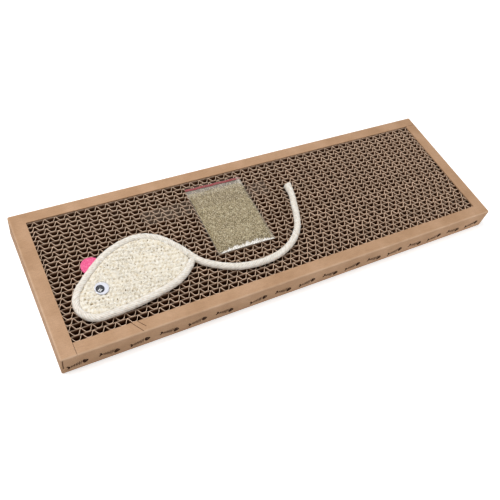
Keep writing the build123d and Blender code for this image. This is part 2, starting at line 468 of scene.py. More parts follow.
    def dome_gloss(self, centre: tuple[float, float], radius: float) -> None:
        """Coats the surface with the gloss of a clear dome that stands over it.

        The coat's normal is the dome's own: the offset from the dome's middle over its sphere's radius, and 1
        for Z.

        Args:
            centre: the dome's middle.
            radius: its sphere's radius.
        """
        axes = self.axes()
        normal = self.nodes.new("ShaderNodeCombineXYZ")
        for name, middle in zip("XY", centre):
            offset = self.math("SUBTRACT", axes[name], middle)
            self.feed(normal.inputs[name], self.math("DIVIDE", offset, radius))
        normal.inputs["Z"].default_value = 1.0
        turned = self.nodes.new("ShaderNodeVectorTransform")
        turned.vector_type = "NORMAL"
        turned.convert_from, turned.convert_to = "OBJECT", "WORLD"
        self.links.new(normal.outputs["Vector"], turned.inputs["Vector"])
        self.set(Coat_Weight=1.0, Coat_Roughness=0.12, Coat_IOR=1.6, Coat_Normal=turned.outputs["Vector"])

    def bump(self, height: Socket, distance: float, strength: float = 1.0) -> None:
        """Roughens the surface by a height pattern.

        Args:
            height: the pattern.
            distance: metres from its low to its high.
            strength: how strongly it shows.
        """
        node = self.nodes.new("ShaderNodeBump")
        node.inputs["Strength"].default_value = strength
        node.inputs["Distance"].default_value = distance
        self.links.new(height, node.inputs["Height"])
        self.links.new(node.outputs["Normal"], self.shader.inputs["Normal"])


@dataclass(frozen=True)
class Finish:
    """What a surface is made of and how it looks. Each kind draws its own nodes.

    Attributes:
        slot: the record's material slot that it stands for.
    """

    slot: str

    def draw(self, graph: Graph) -> None:
        """Fills a material's nodes; each kind of finish has its own.

        Args:
            graph: the nodes to fill.
        """
        raise NotImplementedError

    def material(self) -> bpy.types.Material:
        """Gives the finish's material, made on first use.

        Returns:
            The material.
        """
        name = type(self).__name__
        if name not in bpy.data.materials:
            graph = Graph(name)
            self.draw(graph)
        return bpy.data.materials[name]

    def dress(self, thing: bpy.types.Object) -> None:
        """Puts the finish on a piece in place of what it wears.

        Args:
            thing: the piece.
        """
        thing.data.materials.clear()
        thing.data.materials.append(self.material())


@dataclass(frozen=True)
class KraftCard(Finish):
    """Brown kraft card: cloudy tone, fibres along the sheet and a painted highlight along the folds.

    Attributes:
        size: length, width and height of the tray, along whose upper folds a highlight is painted.
        crest: how far from a fold the painted highlight is at its brightest.
        fold: how far the painted highlight reaches from a fold.
    """

    slot: str = "kraft_card"
    size: tuple[float, float, float] = (0.425, 0.139, 0.022)
    crest: float = 0.0005
    fold: float = 0.0016

    def draw(self, graph: Graph) -> None:
        """Lays clouds, fibres and specks over a brown ground, and paints a highlight along the folds.

        Args:
            graph: the nodes to fill.
        """
        clouds = graph.noise(graph.place(), scale=55, detail=5)
        fibres = graph.noise(graph.place((0.22, 1.6, 1.6)), scale=900, detail=3)
        specks = graph.noise(graph.place(), scale=2600, detail=2)
        ground = graph.ramp(clouds, [
            (0.32, srgb(174, 137, 105)), (0.5, srgb(182, 145, 113)), (0.7, srgb(190, 153, 122)),
        ])
        grain = (graph.span(fibres, 0.3, 0.7, 0.94, 1.05), graph.span(specks, 0.3, 0.7, 0.86, 1.12))
        card = graph.shaded(ground, *grain)
        # painted highlight: the card near the upper folds is mixed towards a pale tone, broken by the clouds
        fold_highlight = graph.math("MULTIPLY", self.folds(graph), graph.span(clouds, 0.35, 0.65, 0.3, 0.6))
        graph.set(Base_Color=graph.mix(fold_highlight, card, srgb(216, 186, 158)), Roughness=0.82)
        graph.set(Specular_IOR_Level=0.25)
        relief = graph.math("ADD", fibres, graph.math("MULTIPLY", specks, 0.6))
        graph.bump(relief, distance=0.00012, strength=0.5)

    def folds(self, graph: Graph) -> Socket:
        """Gives 1 on the tray's upper folds, falling to 0 at the reach set above.

        The distance to a fold is the length of (distance to the wall, distance to the top).

        Args:
            graph: the nodes that it is added to.

        Returns:
            The value.
        """
        axes = graph.axes()
        length, width, height = self.size
        below = graph.math("SUBTRACT", height, axes["Z"])
        near = []
        for axis, side in (("X", length / 2), ("Y", width / 2)):
            inside = graph.math("SUBTRACT", side, graph.math("ABSOLUTE", axes[axis]))
            squares = [graph.math("MULTIPLY", run, run) for run in (inside, below)]
            near.append(graph.math("SQRT", graph.math("ADD", *squares)))
        return graph.span(graph.math("MINIMUM", *near), self.crest, self.fold, 1.0, 0.0)


@dataclass(frozen=True)
class CorrugatedBoard(Finish):
    """Recycled fluting paper, pale grey-brown where cut, with painted shade dim and brown inside the flutes.

    Attributes:
        cut_height: where the cut edges are, over the floor.
        cut_depth: how far under them the paper is as pale as they are, before the painted shade begins.
        shade_depth: how far under them the painted shade is at its darkest.
    """

    slot: str = "corrugated_board"
    cut_height: float = 0.02075
    cut_depth: float = 0.0004
    shade_depth: float = 0.006

    def draw(self, graph: Graph) -> None:
        """Paints shade by the paper's depth under the cut edge, with fibres and each strip's own tone.

        Args:
            graph: the nodes to fill.
        """
        fibres = graph.noise(graph.place((1, 1, 0.25)), scale=1500, detail=3)
        clouds = graph.noise(graph.place(), scale=90, detail=3)
        dimmest, palest = self.cut_height - self.shade_depth, self.cut_height - self.cut_depth
        # painted shade: the paper darkens with depth under the cut edge, where the flutes lie in shade
        depth = graph.span(graph.axes()["Z"], dimmest, palest)
        paper = graph.ramp(depth, [
            (0.0, srgb(90, 55, 28)), (0.5, srgb(114, 75, 48)), (0.82, srgb(136, 101, 76)),
            (0.94, srgb(182, 150, 124)), (1.0, srgb(236, 207, 181)),
        ])
        tones = (graph.span(fibres, 0.3, 0.7, 0.85, 1.12), graph.span(clouds, 0.3, 0.7, 0.9, 1.08))
        own_tone = graph.span(graph.attribute("shade"), 0.0, 1.0, 0.4, 1.15)
        graph.set(Base_Color=graph.shaded(paper, own_tone, *tones), Roughness=0.9)
        graph.set(Specular_IOR_Level=0.15)
        graph.bump(fibres, distance=0.00015, strength=0.5)


@dataclass(frozen=True)
class LoofahFibre(Finish):
    """Pressed loofah: cream fibres, paler on the knots, with painted shade brown down in the few gaps."""

    slot: str = "loofah"

    def draw(self, graph: Graph) -> None:
        """Colours fibres by their height, with painted shade in the pits, warm and pale patches and fine
        strands.

        Args:
            graph: the nodes to fill.
        """
        patches = graph.noise(graph.place(), scale=170, detail=3)
        strands = graph.noise(graph.place((1.0, 2.6, 1.0)), scale=800, detail=4)
        # the ramp's dark brown low end is painted shade in the pits and gaps
        fibre = graph.ramp(graph.attribute("shade"), [
            (0.0, srgb(92, 72, 48)), (0.2, srgb(190, 173, 142)), (0.42, srgb(224, 214, 195)),
            (0.7, srgb(239, 233, 220)), (1.0, srgb(249, 246, 239)),
        ])
        tinted = graph.mix(graph.span(patches, 0.48, 0.7, 0.0, 0.3), fibre, srgb(236, 224, 198))
        dusty = graph.mix(graph.span(strands, 0.54, 0.75, 0.0, 0.3), tinted, srgb(216, 206, 188))
        graph.set(Base_Color=dusty, Roughness=0.88, Specular_IOR_Level=0.2)
        graph.set(Sheen_Weight=0.1)
        graph.bump(strands, distance=0.0003, strength=0.6)


@dataclass(frozen=True)
class CottonRope(Finish):
    """Soft undyed cotton rope: off-white yarns, with painted shade a little dimmer in the grooves of its lay.
    """

    slot: str = "cotton_rope"

    def draw(self, graph: Graph) -> None:
        """Fluffs fine yarns over a painted shade set by the groove's depth.

        Args:
            graph: the nodes to fill.
        """
        yarns = graph.noise(graph.place(), scale=1500, detail=4)
        fluff = graph.noise(graph.place(), scale=380, detail=3)
        # the ramp's low end is painted shade in the grooves between yarns
        cotton = graph.ramp(graph.attribute("shade"), [
            (0.0, srgb(188, 179, 167)), (0.4, srgb(219, 211, 199)),
            (0.7, srgb(232, 226, 216)), (1.0, srgb(240, 235, 227)),
        ])
        soft = graph.mix(graph.span(fluff, 0.48, 0.7, 0.0, 0.6), cotton, srgb(210, 201, 188))
        graph.set(Base_Color=soft, Roughness=0.92, Specular_IOR_Level=0.1)
        graph.set(Subsurface_Weight=0.4, Subsurface_Radius=(1.0, 0.9, 0.8), Subsurface_Scale=0.002)
        relief = graph.math("ADD", yarns, graph.math("MULTIPLY", fluff, 0.5))
        graph.bump(relief, distance=0.0003, strength=0.6)


@dataclass(frozen=True)
class PinkFelt(Finish):
    """Bright pink felt: matted fibres with a soft sheen."""

    slot: str = "pink_felt"

    def draw(self, graph: Graph) -> None:
        """Mats two scales of fibre over the pink.

        Args:
            graph: the nodes to fill.
        """
        matting = graph.noise(graph.place(), scale=900, detail=6)
        fuzz = graph.noise(graph.place((1.8, 0.7, 1.0)), scale=2400, detail=3)
        pink = graph.ramp(matting, [
            (0.3, srgb(224, 86, 134)), (0.5, srgb(238, 100, 148)), (0.72, srgb(247, 134, 172)),
        ])
        graph.set(Base_Color=pink, Roughness=0.95, Specular_IOR_Level=0.1)
        graph.set(Sheen_Weight=0.2)
        graph.bump(graph.math("ADD", matting, fuzz), distance=0.0004, strength=0.6)


@dataclass(frozen=True)
class HotMeltGlue(Finish):
    """Cloudy amber hot-melt glue."""

    slot: str = "hot_melt_glue"

    def draw(self, graph: Graph) -> None:
        """Clouds the amber and roughens it in patches.

        Args:
            graph: the nodes to fill.
        """
        clouds = graph.noise(graph.place(), scale=300, detail=4)
        amber = graph.ramp(clouds, [(0.3, srgb(206, 178, 118)), (0.7, srgb(232, 214, 170))])
        graph.set(Base_Color=amber, Roughness=graph.span(clouds, 0.3, 0.7, 0.25, 0.45))
        graph.bump(clouds, distance=0.0002, strength=0.4)


@dataclass(frozen=True)
class UnderDome(Finish):
    """Plastic that lies under the eye's clear dome and shows its gloss.

    Attributes:
        dome_centre: the dome's middle.
        dome_radius: its sphere's radius.
    """

    slot: str = ""
    dome_centre: tuple[float, float] = (-0.166, -0.0245)
    dome_radius: float = 0.0112


@dataclass(frozen=True)
class WhitePlastic(UnderDome):
    """Glossy bluish-white plastic of the eye's backing."""

    slot: str = "white_plastic"

    def draw(self, graph: Graph) -> None:
        """Keeps a faint unevenness of the moulding in tone and gloss.

        Args:
            graph: the nodes to fill.
        """
        flow = graph.noise(graph.place(), scale=500, detail=3)
        white = graph.ramp(flow, [(0.3, srgb(214, 215, 226)), (0.7, srgb(222, 223, 233))])
        graph.set(Base_Color=white, Roughness=graph.span(flow, 0.3, 0.7, 0.28, 0.4))
        graph.dome_gloss(self.dome_centre, self.dome_radius)


@dataclass(frozen=True)
class BlackPlastic(UnderDome):
    """Blue-black plastic of the loose pupil."""

    slot: str = "black_plastic"

    def draw(self, graph: Graph) -> None:
        """Keeps a faint unevenness of the moulding in tone and gloss.

        Args:
            graph: the nodes to fill.
        """
        flow = graph.noise(graph.place(), scale=900, detail=3)
        black = graph.ramp(flow, [(0.3, srgb(18, 20, 32)), (0.7, srgb(26, 29, 42))])
        graph.set(Base_Color=black, Roughness=graph.span(flow, 0.3, 0.7, 0.5, 0.6))
        graph.set(Specular_IOR_Level=0.05)
        graph.dome_gloss(self.dome_centre, self.dome_radius)


@dataclass(frozen=True)
class ClearPlastic(Finish):
    """Clear hard plastic of the eye's dome: it lets light through, and shines a little at a slant."""

    slot: str = "clear_plastic"

    def draw(self, graph: Graph) -> None:
        """Makes a rippled mirror of very little weight, since what lies under it carries the dome's gloss.

        Args:
            graph: the nodes to fill.
        """
        ripples = graph.noise(graph.place(), scale=260, detail=2)
        shine = graph.nodes.new("ShaderNodeFresnel")
        shine.inputs["IOR"].default_value = 1.06
        graph.set(Base_Color=(1, 1, 1, 1), Metallic=1.0, Alpha=shine.outputs["Fac"])
        graph.set(Roughness=graph.span(ripples, 0.3, 0.7, 0.1, 0.14))


@dataclass(frozen=True)
class ClearFilm(Finish):
    """Thin bag film: nearly clear, milky where it is welded or creased, and near-white where a glare is
    painted on it.
    """

    slot: str = "clear_film"

    def draw(self, graph: Graph) -> None:
        """Sets the film's milkiness and its painted glare from the mesh's shade value, broken by fine
        creases.

        Args:
            graph: the nodes to fill.
        """
        creases = graph.noise(graph.place(), scale=330, detail=4)
        broken = graph.span(creases, 0.35, 0.65, 0.72, 1.2)
        haze = graph.math("MULTIPLY", graph.attribute("shade"), broken, clamp=True)
        # a high shade value is a painted glare, mixed towards near-white
        milky_and_glare = graph.mix(graph.span(haze, 0.3, 0.7), srgb(232, 222, 206), srgb(253, 250, 244))
        graph.set(Base_Color=milky_and_glare, Alpha=haze, Roughness=graph.span(creases, 0.3, 0.7, 0.16, 0.3))
        graph.set(Specular_IOR_Level=0.7)
        graph.bump(creases, distance=0.0004, strength=0.5)


@dataclass(frozen=True)
class ClearTape(Finish):
    """Clear packing tape with a faint warm haze and fine lengthwise drawing lines."""

    slot: str = "clear_tape"

    def draw(self, graph: Graph) -> None:
        """Varies the haze along fine lines and cloudy bubbles of the adhesive.

        Args:
            graph: the nodes to fill.
        """
        lines = graph.noise(graph.place((0.05, 1, 1)), scale=1500, detail=2)
        bubbles = graph.noise(graph.place(), scale=110, detail=4)
        drawn, clouded = graph.span(lines, 0.3, 0.7, 0.02, 0.04), graph.span(bubbles, 0.45, 0.72, 0.0, 0.03)
        graph.set(Base_Color=srgb(200, 180, 160), Alpha=graph.math("ADD", drawn, clouded))
        graph.set(Roughness=graph.span(bubbles, 0.3, 0.7, 0.3, 0.45), Specular_IOR_Level=0.4)


@dataclass(frozen=True)
class RedZip(Finish):
    """Red plastic of the press-to-close zip."""

    slot: str = "red_zip"

    def draw(self, graph: Graph) -> None:
        """Streaks the red along the bead.

        Args:
            graph: the nodes to fill.
        """
        streaks = graph.noise(graph.place((0.1, 1, 1)), scale=1400, detail=3)
        red = graph.ramp(streaks, [(0.3, srgb(122, 38, 44)), (0.7, srgb(148, 52, 58))])
        graph.set(Base_Color=red, Roughness=graph.span(streaks, 0.3, 0.7, 0.35, 0.5))


@dataclass(frozen=True)
class DriedLeaf(Finish):
    """Crumbled dry catnip: khaki, straw and grey-green flakes."""

    slot: str = "dried_catnip"

    def draw(self, graph: Graph) -> None:
        """Gives each flake a tone from its own shade value, with fine veins.

        Args:
            graph: the nodes to fill.
        """
        veins = graph.noise(graph.place(), scale=1600, detail=3)
        leaf = graph.ramp(graph.attribute("shade"), [
            (0.0, srgb(82, 71, 46)), (0.35, srgb(141, 126, 94)),
            (0.65, srgb(178, 163, 129)), (1.0, srgb(222, 211, 182)),
        ])
        veined = graph.mix(graph.span(veins, 0.5, 0.75, 0.0, 0.35), leaf, srgb(124, 114, 80))
        graph.set(Base_Color=veined, Roughness=0.9, Specular_IOR_Level=0.2)
        graph.bump(veins, distance=0.0003, strength=0.6)


@dataclass(frozen=True)
class PrintInk(Finish):
    """Matt dark ink printed on the card, thin where the card's grain shows through."""

    slot: str = "kraft_card"

    def draw(self, graph: Graph) -> None:
        """Breaks the ink's tone with the card's grain.

        Args:
            graph: the nodes to fill.
        """
        grain = graph.noise(graph.place(), scale=1800, detail=3)
        ink = graph.ramp(grain, [(0.35, srgb(46, 29, 20)), (0.6, srgb(58, 38, 26)), (0.8, srgb(90, 64, 46))])
        graph.set(Base_Color=ink, Roughness=0.95, Specular_IOR_Level=0.05)


@dataclass(frozen=True)
class Lamp:
    """One soft square lamp.

    Attributes:
        name: the lamp's name.
        place: where it hangs.
        size: its side.
        watts: its power.
    """

    name: str
    place: Point
    size: float
    watts: float


@dataclass
class Studio:
    """The camera, lamps, backdrop light and floor round the object.

    Attributes:
        camera_place: where the camera stands.
        aim: the point on the pad that it looks at.
        roll: how far it is turned about its own line of sight, in degrees.
        sensor, lens: the sensor's width and the focal length, in millimetres.
        clip: the least distance that the camera sees.
        lamps: all of them point where the camera does.
        ambient: how strong the even light from all round is.
        floor_reach: half the floor's side.
        glow_span: the squares of the distances from the object between which the floor's own glow grows.
        glow: how strong it is at each of them.
    """

    camera_place: Point = (-0.25062, -0.27320, 0.44015)
    aim: Point = (-0.03658, -0.02856, 0.0208)
    roll: float = 17.12
    sensor: float = 36.0
    lens: float = 44.65
    clip: float = 0.01
    lamps: tuple[Lamp, ...] = (
        Lamp("top_light", place=(-0.30, 0.26, 1.15), size=0.5, watts=8.9),
        Lamp("left_light", place=(-1.15, 0.10, 1.15), size=0.6, watts=5.4),
        Lamp("right_fill", place=(0.50, -0.55, 0.16), size=0.4, watts=1.5),
    )
    ambient: float = 0.34
    floor_reach: float = 6.0
    glow_span: tuple[float, float] = (0.25, 3.0)
    glow: tuple[float, float] = (0.54, 0.85)

    def build(self) -> None:
        """Makes everything that isn't part of the object."""
        self.camera()
        for lamp in self.lamps:
            self.hang(lamp)
        self.world()
        self.floor()
        bpy.context.scene.view_settings.view_transform = "Standard"

    def camera(self) -> None:
        """Stands the camera at its place, aims it and rolls it about its line of sight."""
        data = bpy.data.cameras.new("camera")
        data.sensor_width = self.sensor
        data.lens = self.lens
        data.clip_start = self.clip
        camera = bpy.data.objects.new("camera", data)
        sight = Vector(self.aim) - Vector(self.camera_place)
        facing = sight.to_track_quat("-Z", "Y").to_matrix().to_4x4()
        turn = facing @ Matrix.Rotation(radians(self.roll), 4, "Z")
        camera.matrix_world = Matrix.Translation(self.camera_place) @ turn
        bpy.context.scene.collection.objects.link(camera)
        bpy.context.scene.camera = camera

    def hang(self, lamp: Lamp) -> None:
        """Hangs one lamp and points it at the object.

        Args:
            lamp: what is hung.
        """
        data = bpy.data.lights.new(lamp.name, "AREA")
        data.size = lamp.size
        data.energy = lamp.watts
        hung = bpy.data.objects.new(lamp.name, data)
        hung.location = lamp.place
        hung.rotation_euler = (Vector(self.aim) - Vector(lamp.place)).to_track_quat("-Z", "Y").to_euler()
        bpy.context.scene.collection.objects.link(hung)

    def seen_directly(self, tree: bpy.types.NodeTree) -> Socket:
        """Gives 1 for rays from the camera, a mirror or through glass, and 0 for the rest.

        Args:
            tree: the nodes that it is added to.

        Returns:
            The value.
        """
        path = tree.nodes.new("ShaderNodeLightPath")
        total = path.outputs["Is Camera Ray"]
        for name in ("Is Glossy Ray", "Is Transmission Ray"):
            larger = tree.nodes.new("ShaderNodeMath")
            larger.operation = "MAXIMUM"
            tree.links.new(total, larger.inputs[0])
            tree.links.new(path.outputs[name], larger.inputs[1])
            total = larger.outputs[0]
        return total

    def world(self) -> None:
        """Fills the surroundings with even light, white where they are seen directly."""
        world = bpy.data.worlds.new("studio")
        world.use_nodes = True
        bpy.context.scene.world = world
        tree = world.node_tree
        strength = tree.nodes.new("ShaderNodeMapRange")
        strength.inputs["To Min"].default_value = self.ambient
        strength.inputs["To Max"].default_value = 1.0
        tree.links.new(self.seen_directly(tree), strength.inputs["Value"])
        background = tree.nodes["Background"]
        background.inputs["Color"].default_value = (1, 1, 1, 1)
        tree.links.new(strength.outputs["Result"], background.inputs["Strength"])

    def floor(self) -> None:
        """Lays a wide pale floor that shows white and still takes the object's shadow.

        Its own glow grows with the square of the distance from the object, where the lamps' light falls off.
        """
        mesh = bpy.data.meshes.new("floor")
        reach = self.floor_reach
        corners = [(-reach, -reach, 0), (reach, -reach, 0), (reach, reach, 0), (-reach, reach, 0)]
        mesh.from_pydata(corners, [], [(0, 1, 2, 3)])
        floor = bpy.data.objects.new("floor", mesh)
        bpy.context.scene.collection.objects.link(floor)
        graph = Graph("FloorPaper")
        tooth = graph.noise(graph.place(), scale=40, detail=3)
        paper = graph.ramp(tooth, [(0.3, (0.86, 0.86, 0.86, 1)), (0.7, (0.88, 0.88, 0.88, 1))])
        graph.set(Base_Color=paper, Roughness=0.95, Specular_IOR_Level=0.0)
        graph.set(Emission_Color=(1, 1, 1, 1))
        axes = graph.axes()
        away = graph.math("ADD", *(graph.math("MULTIPLY", axes[name], axes[name]) for name in "XY"))
        seen = self.seen_directly(graph.material.node_tree)
        glow = graph.span(away, *self.glow_span, *self.glow)
        graph.set(Emission_Strength=graph.math("MULTIPLY", seen, glow))
        mesh.materials.append(graph.material)


@dataclass
class Tray:
    """The folded kraft tray and the row of fish bones printed along its two long walls.

    Attributes:
        runs: where the first fish bone of each printed run has its middle, along the tray, and how many there
            are.
        pitch: from one to the next.
        height: the row's height over the floor.
        tilt: how far each is tipped up or down, in degrees, in turn.
        length: a fish bone's length without its tail fin.
        head: its head's length and height.
        fin: its tail fin's length and height.
        fin_weight: how many times as wide as a printed line its strokes are.
        ribs: how many ribs it has.
        rib_places: where the first and the last rib cross the spine, as shares of its length.
        rib_half: half a rib's length at the tail, and what it gains up to the head.
        rib_slant: how far a rib leans, as a share of its length.
        stroke: the width of a printed line.
        ink: how thick the ink stands on the card.
    """

    runs: tuple[tuple[float, int], ...] = ((-0.1993, 6), (-0.0462, 11))
    pitch: float = 0.0243
    height: float = 0.0086
    tilt: float = 10.0
    length: float = 0.0146
    head: tuple[float, float] = (0.0046, 0.0062)
    fin: tuple[float, float] = (0.0014, 0.0044)
    fin_weight: float = 3.0
    ribs: int = 7
    rib_places: tuple[float, float] = (0.14, 0.88)
    rib_half: tuple[float, float] = (0.0012, 0.0020)
    rib_slant: float = 0.25
    stroke: float = 0.00052
    ink: float = 0.00004

    def build(self) -> None:
        """Dresses the tray and prints both long walls."""
        KraftCard().dress(frame["nodes"]["kraft_tray"])
        low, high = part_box("kraft_tray")
        for name, wall, side in (("fish_bone_print_front", low.y, -1), ("fish_bone_print_back", high.y, 1)):
            print_row = Shells()
            self.heads(print_row, wall, side)
            self.lines(print_row, wall, side)
            print_row.piece(name, PrintInk(), Body.SCRATCHER, smooth_angle=40)

    def on_wall(self, flat: Array, wall: float, side: int) -> Array:
        """Puts one fish bone's flat drawing on the wall once for each place in the row.

        A drawing's (along, up) is turned by plus or minus the tilt in turn and moved to its place in the row.

        Args:
            flat: an array of shapes by points by (along, up, out).
            wall: the wall's place along Y.
            side: -1 for the front wall and 1 for the back one.

        Returns:
            An array of all rows' shapes by points by 3.
        """
        number = np.concatenate([np.arange(count) for _, count in self.runs])
        start = np.concatenate([np.full(count, first) for first, count in self.runs])
        turn = np.where(np.arange(len(number)) % 2 == 0, 1, -1)
        angle = (radians(self.tilt) * turn)[:, None, None]
        along, up, out = flat[None, ..., 0], flat[None, ..., 1], flat[None, ..., 2]
        x = (start + number * self.pitch)[:, None, None] + along * np.cos(angle) - up * np.sin(angle)
        z = self.height + along * np.sin(angle) + up * np.cos(angle)
        y = wall + side * np.broadcast_to(out, x.shape)
        return np.stack([-side * x, y, z], axis=-1).reshape(-1, flat.shape[1], 3)

    def heads(self, print_row: Shells, wall: float, side: int) -> None:
        """Prints the heads: a ring whose half-width falls from the gill to a pointed nose, round a small eye.

        The half-width is a sine round the ring, times a fullness that tapers with the cosine to the nose.

        Args:
            print_row: takes the shapes.
            wall, side: which wall they are on.
        """
        around = 20
        fullness, taper = 0.86, 0.42
        eye_back, eye_up, eye_radius = 0.42, 0.16, 0.07
        long, tall = self.head
        turn = np.linspace(0, 2 * pi, around, endpoint=False)
        half_width = tall / 2 * (fullness - taper * np.cos(turn)) * np.sin(turn)
        outline = np.stack([self.length / 2 - long / 2 + long / 2 * np.cos(turn), half_width], axis=-1)
        eye = np.array((self.length / 2 - eye_back * long, eye_up * tall))
        eye_ring = eye + eye_radius * long * np.stack([np.cos(turn), np.sin(turn)], axis=-1)
        rings = [(outline, -self.ink), (outline, self.ink), (eye_ring, self.ink), (eye_ring, -self.ink)]
        flat = np.stack([np.column_stack([ring, np.full(around, out)]) for ring, out in rings])
        faces = grid_quads(len(rings) + 1, around, wrap=True) % (len(rings) * around)
        print_row.add_copies(self.on_wall(flat.reshape(1, -1, 3), wall, side), faces)

    def lines(self, print_row: Shells, wall: float, side: int) -> None:
        """Prints the spine, the slanting ribs and the tail fin as straight strokes.

        A stroke is a flat box between two ends, as wide as a printed line, and wider in the tail fin. The
        ribs shorten towards the tail.

        Args:
            print_row: takes the shapes.
            wall, side: which wall they are on.
        """
        back, front = -self.length / 2, self.length / 2 - self.head[0]
        share = np.linspace(*self.rib_places, self.ribs)
        rib_at = back + share * (front - back)
        shortest, gain = self.rib_half
        rib_half = shortest + gain * share
        slant = self.rib_slant * rib_half
        long, tall = self.fin
        starts = [(back, 0.0), (back, 0.0), (back, 0.0)]
        ends = [(front, 0.0), (back - long, tall / 2), (back - long, -tall / 2)]
        start = np.concatenate([starts, np.stack([rib_at - slant, -rib_half], axis=-1)])
        end = np.concatenate([ends, np.stack([rib_at + slant, rib_half], axis=-1)])
        run = (end - start) / np.linalg.norm(end - start, axis=1, keepdims=True)
        width = np.full((len(run), 1), self.stroke)
        width[1:3] *= self.fin_weight
        aside = np.stack([-run[:, 1], run[:, 0]], axis=-1) * width / 2
        corners = np.stack([start - aside, end - aside, end + aside, start + aside], axis=1)
        levels = [np.full((*corners.shape[:2], 1), out) for out in (-self.ink, self.ink)]
        flat = np.concatenate([np.concatenate([corners, level], axis=-1) for level in levels], axis=1)
        box = np.array([(0, 3, 2, 1), (4, 5, 6, 7), (0, 1, 5, 4), (1, 2, 6, 5), (2, 3, 7, 6), (3, 0, 4, 7)])
        print_row.add_copies(self.on_wall(flat, wall, side), box)


